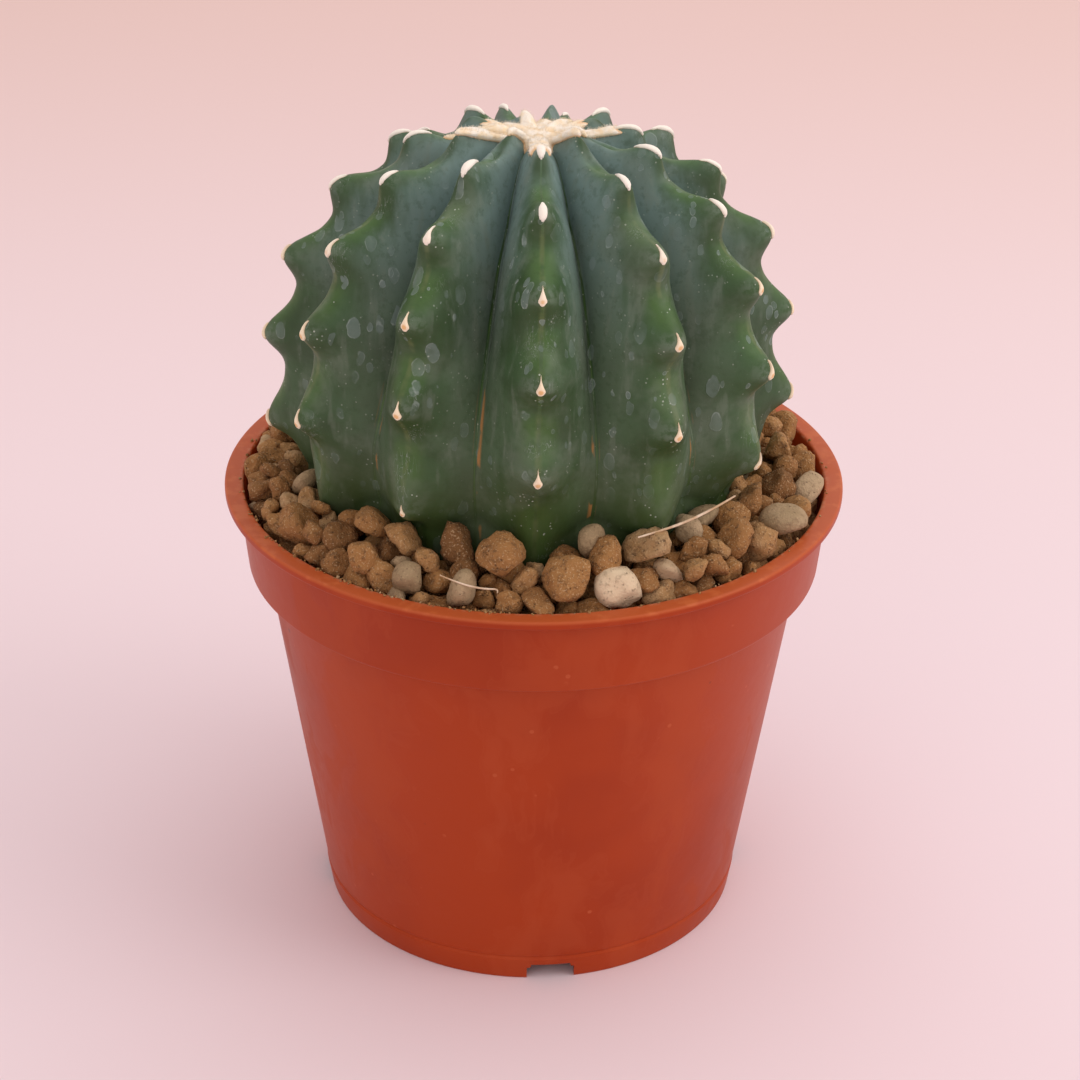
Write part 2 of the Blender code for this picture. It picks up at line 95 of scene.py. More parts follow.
# Builds one node tree, for a material or for a modifier.
class Graph:
    def __init__(self, tree):
        self.tree = tree

    def add(self, kind, settings=None, sockets=None, out=0):
        node = self.tree.nodes.new(kind)
        for name, value in (settings or {}).items():
            if name == "stops":
                ramp = node.color_ramp
                ramp.elements[0].position, ramp.elements[0].color = value[0][0], (*value[0][1], 1.0)
                ramp.elements[-1].position, ramp.elements[-1].color = value[-1][0], (*value[-1][1], 1.0)
                for place, colour in value[1:-1]:
                    ramp.elements.new(place).color = (*colour, 1.0)
            else:
                setattr(node, name, value)
        for key, value in (sockets or {}).items():
            if isinstance(value, Wire):
                self.tree.links.new(value.socket, node.inputs[key])
            else:
                node.inputs[key].default_value = value
        return Wire(self, node.outputs[out])

    def sum(self, operation, *values):
        return self.add("ShaderNodeMath", {"operation": operation}, dict(enumerate(values)))

    def vector(self, operation, *values):
        return self.add("ShaderNodeVectorMath", {"operation": operation}, dict(enumerate(values)))

    def scaled(self, vector, amount):
        return self.add("ShaderNodeVectorMath", {"operation": "SCALE"}, {0: vector, "Scale": amount})

    def split(self, vector):
        return self.add("ShaderNodeSeparateXYZ", None, {0: vector})

    def join(self, *parts):
        return self.add("ShaderNodeCombineXYZ", None, dict(enumerate(parts)))

    def mix(self, first, second, mask):
        first = first if isinstance(first, Wire) else (*first, 1.0)
        second = second if isinstance(second, Wire) else (*second, 1.0)
        return self.add("ShaderNodeMix", {"data_type": "RGBA"}, {0: mask, 6: first, 7: second}, 2)

    def ease(self, value, low, high, start=0.0, end=1.0):
        return self.add("ShaderNodeMapRange", {"interpolation_type": "SMOOTHSTEP"},
                        {0: value, 1: low, 2: high, 3: start, 4: end})

    def fall(self, value, low, high):
        return self.ease(value, low, high, 1.0, 0.0)

    def noise(self, where, scale, detail=3.0, rough=0.55, out=0):
        return self.add("ShaderNodeTexNoise", None,
                        {"Vector": where, "Scale": scale, "Detail": detail, "Roughness": rough}, out)

    def cells(self, where, scale, out="Distance"):
        return self.add("ShaderNodeTexVoronoi", None, {"Vector": where, "Scale": scale}, out)

    def stretched(self, where, scale):
        return self.add("ShaderNodeMapping", None, {"Vector": where, "Scale": scale})

    def place(self):
        return self.add("ShaderNodeTexCoord", out="Object")

    def read(self, name):
        return self.add("ShaderNodeAttribute", {"attribute_name": name}, out="Fac")

    # Geometry Nodes, by the end of their name
    def geo(self, kind, sockets=None, settings=None, out=0):
        return self.add("GeometryNode" + kind, settings, sockets, out)

    def stored(self, name, kind="FLOAT_VECTOR"):
        return self.geo("InputNamedAttribute", {"Name": name}, {"data_type": kind})

    def chance(self, low, high, seed):
        return self.add("FunctionNodeRandomValue", {"data_type": "FLOAT"}, {2: low, 3: high, "Seed": seed}, 1)

    def shapeOf(self, piece):
        return self.geo("ObjectInfo", {0: piece}, out="Geometry")

    def normalOf(self, ground, sockets=None):
        return self.geo("SampleNearestSurface", {"Mesh": ground, "Value": self.geo("InputNormal"),
            **(sockets or {})}, {"data_type": "FLOAT_VECTOR"})

    # One of a folder's pieces on every point, made one mesh.
    def strewn(self, points, folder, turn, size):
        shapes = self.geo("CollectionInfo", {0: folder, "Separate Children": True, "Reset Children": True},
            {"transform_space": "RELATIVE"})
        laid = self.geo("InstanceOnPoints", {"Points": points, "Instance": shapes, "Pick Instance": True,
            "Instance Index": self.stored("kind", "INT"), "Rotation": turn, "Scale": size})
        return self.geo("RealizeInstances", {0: laid})


def newMaterial(name, **fixed):
    made = bpy.data.materials.new(name)
    made.use_nodes = True
    graph = Graph(made.node_tree)
    shader = made.node_tree.nodes["Principled BSDF"]
    for label, value in fixed.items():
        shader.inputs[label.replace("_", " ")].default_value = value
    return made, graph, shader


def finishMaterial(graph, shader, colour, rough, height=None, depth=0.0002, strength=1.0):
    graph.tree.links.new(colour.socket, shader.inputs["Base Color"])
    graph.tree.links.new(rough.socket, shader.inputs["Roughness"])
    if height is not None:
        bump = graph.add("ShaderNodeBump", None, {"Height": height, "Distance": depth, "Strength": strength})
        graph.tree.links.new(bump.socket, shader.inputs["Normal"])


# Starts a Geometry Nodes tree whose inputs have the names given here.
def newTool(name, fields):
    tree = bpy.data.node_groups.new(name, "GeometryNodeTree")
    tree.interface.new_socket("Geometry", in_out="INPUT", socket_type="NodeSocketGeometry")
    for label, kind in fields.items():
        tree.interface.new_socket(label, in_out="INPUT", socket_type="NodeSocket" + kind)
    tree.interface.new_socket("Geometry", in_out="OUTPUT", socket_type="NodeSocketGeometry")
    graph = Graph(tree)
    entry = tree.nodes.new("NodeGroupInput")
    given = {socket.name: Wire(graph, socket) for socket in entry.outputs if socket.name}
    return graph, given


def closeTool(graph, geometry, finish):
    smooth = graph.geo("SetShadeSmooth", {0: graph.geo("RealizeInstances", {0: geometry})})
    painted = graph.geo("SetMaterial", {"Geometry": smooth, "Material": finish})
    leave = graph.tree.nodes.new("NodeGroupOutput")
    graph.tree.links.new(painted.socket, leave.inputs[0])
    return graph.tree


def useTool(piece, tree, values):
    modifier = piece.modifiers.new(tree.name, "NODES")
    modifier.node_group = tree
    for item in tree.interface.items_tree:
        if item.in_out == "INPUT" and item.name in values:
            modifier[item.identifier] = values[item.name]


def newPiece(name, verts, faces=(), edges=()):
    mesh = bpy.data.meshes.new(name)
    mesh.from_pydata([tuple(map(float, v)) for v in verts], list(edges), list(faces))
    mesh.update()
    made = bpy.data.objects.new(name, mesh)
    scene.collection.objects.link(made)
    return made


def giveValues(piece, sort, **values):
    for name, numbers in values.items():
        layer = piece.data.attributes.new(name, sort, "POINT")
        layer.data.foreach_set("vector" if sort == "FLOAT_VECTOR" else "value",
                               np.asarray(numbers, dtype=np.float32 if sort != "INT" else np.int32).ravel())


def giveRows(piece, rows, sort, *names):
    giveValues(piece, sort, **{name: [row[name] for row in rows] for name in names})


# Turns a piece and its modifiers into a plain mesh.
def settle(piece, name):
    graph = bpy.context.evaluated_depsgraph_get()
    mesh = bpy.data.meshes.new_from_object(piece.evaluated_get(graph), preserve_all_data_layers=True,
                                           depsgraph=graph)
    mesh.name = name
    bpy.data.objects.remove(piece)
    made = bpy.data.objects.new(name, mesh)
    scene.collection.objects.link(made)
    return made


def around(radius, azimuth):
    return radius * math.sin(azimuth), -radius * math.cos(azimuth)


pot = {
    "height": 79.6 * mm, "lipRadius": 52.5 * mm, "lipOverhang": 2.05 * mm, "lipThickness": 1.4 * mm,
    "bandHeight": 14.8 * mm, "bandDraft": 1.55 * mm, "step": 3.0 * mm, "draft": 9.6 * mm,
    "wall": 1.1 * mm, "floorRise": 3.7 * mm, "floorThickness": 1.1 * mm, "ringHeight": 4.7 * mm,
    "notches": 4, "notchWidth": 8.2 * mm, "notchHeight": 3.1 * mm, "notchTurn": 6.0,
    "drainRadius": 4.0 * mm, "drainInset": 8.0 * mm, "sides": 256,
}
bandRadius = pot["lipRadius"] - pot["lipOverhang"]
bandFoot = bandRadius - pot["bandDraft"]
bodyRadius = bandFoot - pot["step"]
baseRadius = bodyRadius - pot["draft"]
stepHeight = pot["height"] - pot["bandHeight"]


def bandOutside(height):
    return bandFoot + pot["bandDraft"] * (height - stepHeight) / pot["bandHeight"]


def bodyOutside(height):
    return baseRadius + pot["draft"] * height / stepHeight


# Rounds each corner of a profile by its own radius.
def roundedProfile(corners):
    points = []
    for index, (radius, height, fillet) in enumerate(corners):
        here = Vector((radius, height))
        if fillet <= 0.0 or index in (0, len(corners) - 1):
            points.append(here)
            continue
        before = Vector(corners[index - 1][:2]) - here
        after = Vector(corners[index + 1][:2]) - here
        turn = before.angle(after)
        reach = min(fillet / math.tan(turn / 2.0), 0.48 * before.length, 0.48 * after.length)
        start, end = here + before.normalized() * reach, here + after.normalized() * reach
        for step in range(5):
            share = step / 4.0
            points.append((1 - share) ** 2 * start + 2 * share * (1 - share) * here + share ** 2 * end)
    return points


def turned(name, points, sides):
    verts, faces, rings = [], [], []
    for radius, height in points:
        if radius < 1e-6:
            rings.append([len(verts)])
            verts.append((0.0, 0.0, height))
        else:
            rings.append(list(range(len(verts), len(verts) + sides)))
            verts += [(*around(radius, 2.0 * math.pi * side / sides), height) for side in range(sides)]
    for low, high in zip(rings, rings[1:]):
        for side in range(sides):
            beside = (side + 1) % sides
            if len(low) == 1:
                faces.append((low[0], high[beside], high[side]))
            elif len(high) == 1:
                faces.append((low[side], low[beside], high[0]))
            else:
                faces.append((low[side], low[beside], high[beside], high[side]))
    return newPiece(name, verts, faces)


def makePot():
    wall, top = pot["wall"], pot["height"]
    underLip = top - pot["lipThickness"]
    shelf, floorTop = stepHeight + wall, pot["floorRise"] + pot["floorThickness"]
    ring = pot["ringHeight"]
    corners = [
        (0.0, pot["floorRise"], 0), (bodyOutside(pot["floorRise"]) - wall, pot["floorRise"], 0.0004),
        (baseRadius - wall, 0.0, 0.0002), (baseRadius, 0.0, 0.0003),
        (bodyOutside(ring), ring - 0.0005, 0.0001), (bodyOutside(ring) - 0.00022, ring, 0.0001),
        (bodyOutside(ring), ring + 0.0005, 0.0001),
        (bodyRadius, stepHeight, 0.0006), (bandFoot, stepHeight, 0.0007),
        (bandOutside(underLip), underLip, 0.0009), (pot["lipRadius"], underLip - 0.0001, 0.00045),
        (pot["lipRadius"], top, 0.0005), (bandRadius - wall, top, 0.0006),
        (bandOutside(shelf) - wall, shelf, 0.0004), (bodyRadius - wall, shelf, 0.0004),
        (bodyOutside(floorTop) - wall, floorTop, 0.0006), (0.0, floorTop, 0),
    ]
    made = turned("potShell", roundedProfile(corners), pot["sides"])
    cutters = bmesh.new()
    for index in range(pot["notches"]):
        azimuth = math.radians(pot["notchTurn"]) + 2.0 * math.pi * index / pot["notches"]
        turn = Matrix.Rotation(azimuth, 4, "Z")
        x, y = around(baseRadius, azimuth)
        block = bmesh.ops.create_cube(cutters, size=1.0, matrix=Matrix.Translation((x, y, 0.0)) @ turn
                                      @ Matrix.Diagonal((pot["notchWidth"], 0.0088, 2.0 * pot["notchHeight"], 1.0)))
        upright = [e for e in dict.fromkeys(e for v in block["verts"] for e in v.link_edges)
            if abs((turn.inverted() @ (e.verts[0].co - e.verts[1].co)).y) > 0.004
            and min(v.co.z for v in e.verts) > 0.0]
        bmesh.ops.bevel(cutters, geom=upright, offset=0.0007, segments=3, affect="EDGES")
        x, y = around(baseRadius - pot["drainInset"], azimuth)
        bmesh.ops.create_cone(cutters, cap_ends=True, segments=40, radius1=pot["drainRadius"],
                              radius2=pot["drainRadius"], depth=0.0044,
                              matrix=Matrix.Translation((x, y, 0.5 * (pot["floorRise"] + floorTop))))
    mesh = bpy.data.meshes.new("potCuts")
    cutters.to_mesh(mesh)
    cutters.free()
    cuts = bpy.data.objects.new("potCuts", mesh)
    scene.collection.objects.link(cuts)
    carve = made.modifiers.new("carve", "BOOLEAN")
    carve.operation, carve.solver, carve.object = "DIFFERENCE", "EXACT", cuts
    made = settle(made, "pot_shell")
    bpy.data.objects.remove(cuts)
    made.data.shade_smooth()
    made.data.set_sharp_from_angle(angle=math.radians(38.0))
    return made


# rim is the colour of a painted highlight on the lip's top
potLook = {
    "clay": (0.4, 0.044, 0.004), "deep": (0.32, 0.03, 0.003), "faded": (0.48, 0.088, 0.028),
    "dust": (0.6, 0.44, 0.3), "rim": (0.57, 0.135, 0.04), "roughness": 0.4,
}


def plasticMaterial():
    made, g, shader = newMaterial("terracottaPlastic", Specular_IOR_Level=0.2)
    where = g.place()
    broad = g.noise(where, 26.0, 3.0)
    fine = g.noise(where, 420.0, 2.0)
    colour = g.mix(potLook["clay"], potLook["deep"], g.ease(broad, 0.42, 0.72, 0.0, 0.75))
    # dried water: blotches with a sharper edge, and long runs
    drip = g.stretched(where, (1.0, 1.0, 0.38))
    bent = g.vector("ADD", drip, g.scaled(g.noise(where, 60.0, 2.0, out="Color"), 0.012))
    stain = g.ease(g.noise(bent, 58.0, 4.0, 0.62), 0.52, 0.6)
    edge = g.fall(abs(g.noise(bent, 58.0, 4.0, 0.62).do("SUBTRACT", 0.535)), 0.0, 0.012)
    colour = g.mix(colour, potLook["faded"], stain * 0.22 + edge * 0.1)
    # pale specks, dark specks
    speck = g.fall(g.cells(where, 330.0), 0.1, 0.16)
    chosen = g.ease(g.noise(where, 150.0, 1.0), 0.6, 0.64)
    colour = g.mix(colour, potLook["faded"], speck * chosen * 0.8)
    dark = g.fall(g.cells(where, 170.0), 0.05, 0.09) * g.ease(g.noise(where, 70.0, 1.0), 0.6, 0.66)
    colour = g.mix(colour, (0.09, 0.02, 0.012), dark * 0.6)
    # dust on the lip and inside
    parts = g.split(where)
    radius = g.vector("LENGTH", g.vector("MULTIPLY", where, (1.0, 1.0, 0.0))).also("Value")
    high = parts.also("Z")
    nearTop = g.ease(high, pot["height"] - 0.0007, pot["height"] - 0.0001)
    inner = g.fall(radius, bandRadius - 0.0016, bandRadius + 0.0002)
    gritty = g.ease(g.noise(where, 900.0, 3.0), 0.46, 0.62)
    colour = g.mix(colour, potLook["dust"], nearTop * inner * gritty * 0.75)
    # the lip's top painted lighter in the rim colour: a painted highlight, stronger in rubbed patches
    rubAndHighlight = nearTop * (1.0 - inner) * g.ease(g.noise(where, 260.0, 4.0), 0.5, 0.66)
    colour = g.mix(colour, potLook["rim"], nearTop * 0.55 + rubAndHighlight * 0.35)
    rough = potLook["roughness"] + stain * 0.1 + gritty * inner * nearTop * 0.3 + fine * 0.06 - 0.03
    height = fine * 0.25 + broad * 1.6 + g.noise(where, 95.0, 2.0) * 0.8
    finishMaterial(g, shader, colour, rough, height, 0.0003, 0.35)
    return made


potPiece = makePot()
potPiece.data.materials.clear()
potPiece.data.materials.append(plasticMaterial())
print("pot made")

plant = {
    "radius": 44.0 * mm, "level": 97.6 * mm, "rise": 48.0 * mm, "drop": 29.8 * mm, "square": 2.38,
    "dimple": 4.5 * mm, "dimpleRadius": 7.5 * mm, "rootTop": 10.5 * mm, "rootTip": 3.0 * mm,
    "rootLength": 30.0 * mm,
}
plantRules = {
    "Ribs": 13, "Columns per rib": 36, "Rows": 200, "Turn": math.radians(2.4),
    "Crowding": math.radians(4.5), "Furrow depth": 13.3 * mm, "Furrow skew": 0.66,
    "Furrow start": 25.0 * mm, "Furrow fade": 4.2 * mm, "Crease": 1.2 * mm, "Bump depth": 3.6 * mm,
    "Bump spacing": 15.1 * mm, "Bump notch": 0.42, "Bump sharpness": 1.35, "Bump droop": 0.4 * mm,
    "Spread start": 66.0 * mm, "Spread": 0.9, "Spiral step": 8.0, "Spiral start": 2.7 * mm,
    "Lean to the right": 0.02, "Lean to the back": -0.11, "Offset to the right": -1.4 * mm,
    "Offset to the back": 0.8 * mm, "Crown slope": 0.168, "Slope behind": 0.105, "Slope start": 15.0 * mm,
    "Soil height": 76.8 * mm, "Shown length": 105.0 * mm, "Unevenness": 0.5 * mm,
}


def plantProfile():
    angle = np.radians(np.linspace(90.0, -90.0, 1441))
    power = 2.0 / plant["square"]
    radius = plant["radius"] * np.cos(angle).clip(0.0) ** power
    along = np.sign(angle) * np.abs(np.sin(angle)) ** power
    height = plant["level"] + np.where(angle > 0.0, plant["rise"], plant["drop"]) * along
    height -= plant["dimple"] * np.exp(-((radius / plant["dimpleRadius"]) ** 2)) * (angle > 0.0)
    length = float(np.hypot(np.diff(radius), np.diff(height)).sum())
    keep = (radius > plant["rootTop"]) | (angle > 0.0)
    radius, height = list(radius[keep]), list(height[keep])
    for share in np.linspace(0.05, 1.0, 12):
        radius.append(plant["rootTop"] + (plant["rootTip"] - plant["rootTop"]) * share ** 0.7)
        height.append(height[int(keep.sum()) - 1] - share * plant["rootLength"])
    radius.append(0.0)
    height.append(height[-1])
    verts = [(r, 0.0, z) for r, z in zip(radius, height)]
    whole = float(np.hypot(np.diff(radius), np.diff(height)).sum())
    return newPiece("plantProfile", verts, edges=[(i, i + 1) for i in range(len(verts) - 1)]), length, whole


def ribbedStemTree():
    fields = {name: "Int" if name in ("Ribs", "Columns per rib", "Rows") else "Float" for name in plantRules}
    fields.update({"Outline length": "Float", "Whole length": "Float", "Finish": "Material"})
    g, given = newTool("ribbedStem", fields)
    line = g.geo("MeshToCurve", {0: given["Geometry"]})
    grid = g.geo("MeshGrid", {"Size X": 1.0, "Size Y": 1.0,
        "Vertices X": given["Ribs"] * given["Columns per rib"] + 1, "Vertices Y": given["Rows"]})
    spot = g.split(g.geo("InputPosition"))
    across, down = spot.also("X") + 0.5, 0.5 - spot.also("Y")
    # rows are close together where the plant shows
    shown = (down / 0.93).atMost(1.0) * given["Shown length"]
    hidden = (down - 0.93).atLeast(0.0) / 0.07 * (given["Whole length"] - given["Shown length"])
    along = shown + hidden
    # side runs from -1 to 1 over one rib, with its columns closer at the crest
    spin = across * given["Ribs"]
    rib = (spin + 0.5).do("FLOOR")
    straight = (spin - rib) * 2.0
    away = straight.do("SIGN")
    side = away * abs(straight) ** 1.25
    wide = abs(side)

    def ribTurn(number):
        return number * (2.0 * math.pi) / given["Ribs"]

    def ribAzimuth(number):
        return given["Turn"] + ribTurn(number) + given["Crowding"] * ribTurn(number).do("SINE")

    azimuth = ribAzimuth(rib) + 0.5 * wide * (ribAzimuth(rib + away) - ribAzimuth(rib))
    on = g.geo("SampleCurve", {"Curves": line, "Length": along}, {"mode": "LENGTH"}, "Position")
    place = g.split(on)
    way = g.split(on.also("Tangent"))
    radius, height = place.also("X"), place.also("Z")
    out, up = 0.0 - way.also("Z"), way.also("X")
    # the bumps, in a spiral from rib to rib
    start = given["Spiral start"] + rib * given["Spiral step"] * given["Bump spacing"] / given["Ribs"]
    spread = along - (along - given["Spread start"]).atLeast(0.0) * (1.0 - given["Spread"])
    phase = (spread - start) / given["Bump spacing"]
    share = phase.do("FRACT")
    apart = (share / given["Bump notch"]).atMost((1.0 - share) / (1.0 - given["Bump notch"]))
    bump = (0.5 + 0.5 * (apart * math.pi).do("COSINE")) ** given["Bump sharpness"]
    # flanks: convex above, fuller and shallower below
    low = g.ease(along, 52.0 * mm, 92.0 * mm)
    keel = 0.042 + 0.08 * bump + 0.02 * low
    full = (1.0 + keel * keel).do("SQRT") - keel
    sunkShare = (((wide * wide + keel * keel).do("SQRT") - keel) / full) ** (1.13 - 0.28 * low)
    crest = 1.0 - sunkShare
    near = (along / given["Furrow start"]).atMost(1.0)
    reach = (along / given["Outline length"]).atMost(1.0) ** given["Furrow skew"]
    depth = given["Furrow depth"] * (reach * math.pi).do("SINE").atLeast(0.0) * near ** 0.6 \
        * (1.0 - 0.24 * low)
    upper = along.do("LESS_THAN", given["Outline length"] * 0.5)
    above = (height - given["Soil height"]) / given["Furrow fade"]
    fade = upper.atLeast(above.atMost(1.0).atLeast(0.0))
    notch = given["Bump depth"] * (1.0 - bump) * crest ** 3.4 * (along / given["Bump spacing"]).atMost(1.0)
    crease = given["Crease"] * near * (1.0 - 0.97 * low) * wide ** 16.0
    sunk = fade * (depth * (sunkShare - 0.11 * low * wide ** 9.0) + notch + crease)
    droop = given["Bump droop"] * bump * fade * near * crest ** 3.0
    r = radius - sunk * out + droop * way.also("X")
    z = height - sunk * up + droop * way.also("Z")
    x, y = r * azimuth.do("SINE"), 0.0 - r * azimuth.do("COSINE")
    raised = (z - given["Soil height"]).atLeast(0.0)
    behind = given["Slope behind"]
    tilt = behind + (given["Crown slope"] - behind) * y.do("LESS_THAN", 0.0)
    slope = tilt * (raised / given["Slope start"]).atMost(1.0)
    final = g.join(x + given["Offset to the right"] + given["Lean to the right"] * raised,
        y + given["Offset to the back"] + given["Lean to the back"] * raised, z - slope * y)
    push = g.join(out * azimuth.do("SINE"), 0.0 - out * azimuth.do("COSINE"), up)
    wobble = (g.noise(final, 42.0, 1.0) - 0.5) * 2.4 + (g.noise(final, 190.0, 2.0) - 0.5) * 0.7
    final = g.vector("ADD", final, g.scaled(push, wobble * given["Unevenness"] * near))
    shape = grid
    for name, value in (("side", side), ("along", along), ("phase", phase), ("bump", bump),
                        ("rib", rib - (rib / given["Ribs"]).do("FLOOR") * given["Ribs"])):
        shape = g.geo("StoreNamedAttribute", {"Geometry": shape, "Name": name, "Value": value},
            {"data_type": "FLOAT", "domain": "POINT"})
    shape = g.geo("SetPosition", {"Geometry": shape, "Position": final})
    shape = g.geo("MergeByDistance", {"Geometry": shape, "Distance": 1e-6})
    return closeTool(g, shape, given["Finish"])


skinLook = {"dark": (0.024, 0.058, 0.014), "green": (0.037, 0.093, 0.029), "livelyHighlight": (0.07, 0.16, 0.024),
    "bloom": (0.19, 0.285, 0.27), "grey": (0.165, 0.205, 0.15), "crest": (0.17, 0.2, 0.07),
    "cork": (0.4, 0.18, 0.045), "stain": (0.27, 0.345, 0.345), "roughness": 0.5}


def skinMaterial():
    made, g, shader = newMaterial("waxySkin", Specular_IOR_Level=0.42)
    where = g.place()
    side = abs(g.read("side"))
    along, phase = g.read("along"), g.read("phase")
    share = phase.do("FRACT")
    broad, mid = g.noise(where, 55.0, 2.0), g.noise(where, 210.0, 3.0)
    fine = g.noise(where, 1300.0, 2.0)
    high = g.fall(along, 22.0 * mm, 75.0 * mm)
    # dark crest sides, blue-grey wax towards the furrows and the crown
    colour = g.mix(skinLook["dark"], skinLook["green"], g.ease(broad * 0.6 + mid * 0.4, 0.36, 0.62))
    run = g.noise(g.stretched(where, (1.0, 1.0, 0.22)), 480.0, 3.0)
    mottle = g.noise(where, 640.0, 4.0, 0.7)
    wax = g.ease(side + (broad - 0.5) * 0.8 + (run - 0.5) * 0.45 + high * 0.14, 0.32, 0.86)
    colour = g.mix(colour, g.mix(skinLook["grey"], skinLook["bloom"], high), wax * (0.25 + 0.6 * high))
    colour = g.mix(colour, skinLook["bloom"], g.ease(along, 8.0 * mm, 34.0 * mm, 0.7, 0.0) * g.ease(mid, 0.2, 0.6))
    # under each areole the skin is darkest, then livelier green along the crest, brightest in the notch between
    # bumps: the skin's own green with a painted highlight in the notches
    nearCrest = g.fall(side, 0.08, 0.38)
    under = g.ease(share, 0.02, 0.1) * g.fall(share, 0.16, 0.38)
    colour = g.mix(colour, skinLook["dark"], under * nearCrest * 0.75)
    livelyHighlight = g.ease(share, 0.3, 0.5) * g.fall(share, 0.7, 0.95)
    colour = g.mix(colour, skinLook["livelyHighlight"], (0.2 + 0.8 * livelyHighlight) * nearCrest * 0.5)
    line = g.fall(side, 0.015, 0.075) * g.ease(mid, 0.38, 0.62)
    colour = g.mix(colour, skinLook["crest"], line * 0.4 * g.ease(along, 15.0 * mm, 40.0 * mm))
    colour = g.mix(colour, skinLook["grey"], g.ease(g.noise(where, 85.0, 4.0, 0.6), 0.5, 0.66) * 0.3)
    colour = g.mix(colour, skinLook["grey"], g.ease(run, 0.54, 0.68) * g.ease(side, 0.12, 0.4) * 0.3)
    colour = g.mix(colour, skinLook["dark"], g.ease(mottle, 0.5, 0.66) * 0.26)
    halo = (g.fall(share, 0.03, 0.12) + g.ease(share, 0.8, 0.97)) * nearCrest
    colour = g.mix(colour, (0.27, 0.34, 0.27), halo * g.ease(mottle, 0.4, 0.6) * 0.28)
    # olive foot
    colour = g.mix(colour, (0.05, 0.08, 0.02), g.ease(along, 76.0 * mm, 92.0 * mm) * 0.55)
    # dried drops: upright ovals with a paler rim, over some of the skin only
    tall = g.stretched(where, (1.0, 1.0, 0.58))
    bent = g.vector("ADD", tall, g.scaled(g.noise(where, 330.0, 2.0, out="Color"), 0.0011))
    stains, rims = None, None
    for size, least, seed in ((300.0, 0.5, 3.0), (520.0, 0.6, 7.0)):
        moved = g.vector("ADD", bent, (seed, 0.0, 0.0))
        ball = g.cells(moved, size)
        pick = g.add("ShaderNodeSeparateColor", None, {0: g.cells(moved, size, "Color")})
        there = pick.do("GREATER_THAN", least) * g.ease(g.noise(where, 60.0, 1.0), 0.38, 0.52)
        limit = 0.22 + 0.17 * pick.also("Green")
        inside = g.ease(limit - ball, 0.0, 0.05) * there
        rim = g.fall(abs(limit - ball - 0.03), 0.0, 0.035) * there
        weight = 0.45 + 0.55 * pick.also("Blue")
        stains = inside * weight if stains is None else stains.atLeast(inside * weight)
        rims = rim * weight if rims is None else rims.atLeast(rim * weight)
    patchy = g.ease(mid, 0.34, 0.6, 0.45, 1.0) * g.ease(along, 58.0 * mm, 88.0 * mm, 1.0, 0.35)
    colour = g.mix(colour, skinLook["stain"], stains * patchy * 0.42)
    colour = g.mix(colour, (0.42, 0.49, 0.46), rims * patchy * g.ease(g.noise(where, 700.0, 2.0), 0.45, 0.6) * 0.55)
    # chalky specks, thickest beside the crests
    speck = g.fall(g.cells(where, 1150.0), 0.13, 0.21) * g.ease(g.noise(where, 380.0, 3.0), 0.52, 0.64)
    colour = g.mix(colour, (0.5, 0.56, 0.47), speck * (0.3 + 0.6 * nearCrest))
    # fine scratches round the upper areoles
    thin = g.add("ShaderNodeMapping", None, {"Vector": where, "Rotation": (0.4, 0.5, 0.0), "Scale": (3.2, 3.2, 0.5)})
    scratch = g.fall(abs(g.noise(thin, 520.0, 2.0) - 0.5), 0.0, 0.018)
    scratch = scratch * g.ease(g.noise(where, 130.0, 1.0), 0.6, 0.68) * nearCrest
    colour = g.mix(colour, (0.36, 0.42, 0.38), scratch * 0.55)
    # corky streaks at the bottom of the lower furrows, and painted shade in the creases above
    torn = g.ease(g.noise(g.stretched(where, (1.0, 1.0, 0.45)), 260.0, 3.0), 0.5, 0.57)
    cork = g.ease(side, 0.91, 0.97) * g.ease(along, 62.0 * mm, 72.0 * mm) * torn
    crease = g.ease(side, 0.965, 1.0) * g.fall(along, 52.0 * mm, 68.0 * mm)
    # the upper creases painted darker: painted shade
    colour = g.mix(colour, (0.016, 0.03, 0.02), crease * 0.75)
    colour = g.mix(colour, skinLook["cork"], cork * 0.8)
    rough = skinLook["roughness"] + (mottle - 0.5) * 0.25 + wax * 0.14 + stains * 0.08 + (mid - 0.5) * 0.16
    height = mid * 0.35 + fine * 0.1 + stains * 0.06 + rims * 0.1 + speck * 0.12 + scratch * 0.08
    finishMaterial(g, shader, colour, rough, height, 0.00042, 0.6)
    return made


profile, outlineLength, wholeLength = plantProfile()
skin = skinMaterial()
useTool(profile, ribbedStemTree(), {**plantRules, "Outline length": outlineLength, "Whole length": wholeLength,
                                    "Finish": skin})
stem = settle(profile, "cactus_body")


# Signed volume, to see that a closed shell faces outwards.
def volumeOf(mesh):
    shape = bmesh.new()
    shape.from_mesh(mesh)
    volume = shape.calc_volume(signed=True)
    if volume < 0.0:
        bmesh.ops.reverse_faces(shape, faces=shape.faces)
        shape.to_mesh(mesh)
    shape.free()
    return volume


print("plant made,", len(stem.data.polygons), "faces, volume", round(volumeOf(stem.data) * 1e6, 1), "ml")


def readValues(mesh, name):
    values = np.empty(len(mesh.vertices), dtype=np.float32)
    mesh.attributes[name].data.foreach_get("value", values)
    return values


def readVectors(rows, name):
    values = np.empty(len(rows) * 3, dtype=np.float32)
    rows.foreach_get(name, values)
    return values.reshape(-1, 3)


def crestPlaces():
    mesh = stem.data
    spots, normals = readVectors(mesh.vertices, "co"), readVectors(mesh.vertex_normals, "vector")
    side, along = readValues(mesh, "side"), readValues(mesh, "along")
    phase, rib = readValues(mesh, "phase"), readValues(mesh, "rib")
    crests = []
    for number in range(plantRules["Ribs"]):
        mine = np.flatnonzero((np.abs(side) < 1e-3) & (np.abs(rib - number) < 0.01) & (along > 1e-4))
        mine = mine[np.argsort(along[mine])]
        crests.append((along[mine], phase[mine], spots[mine], normals[mine]))
    return crests


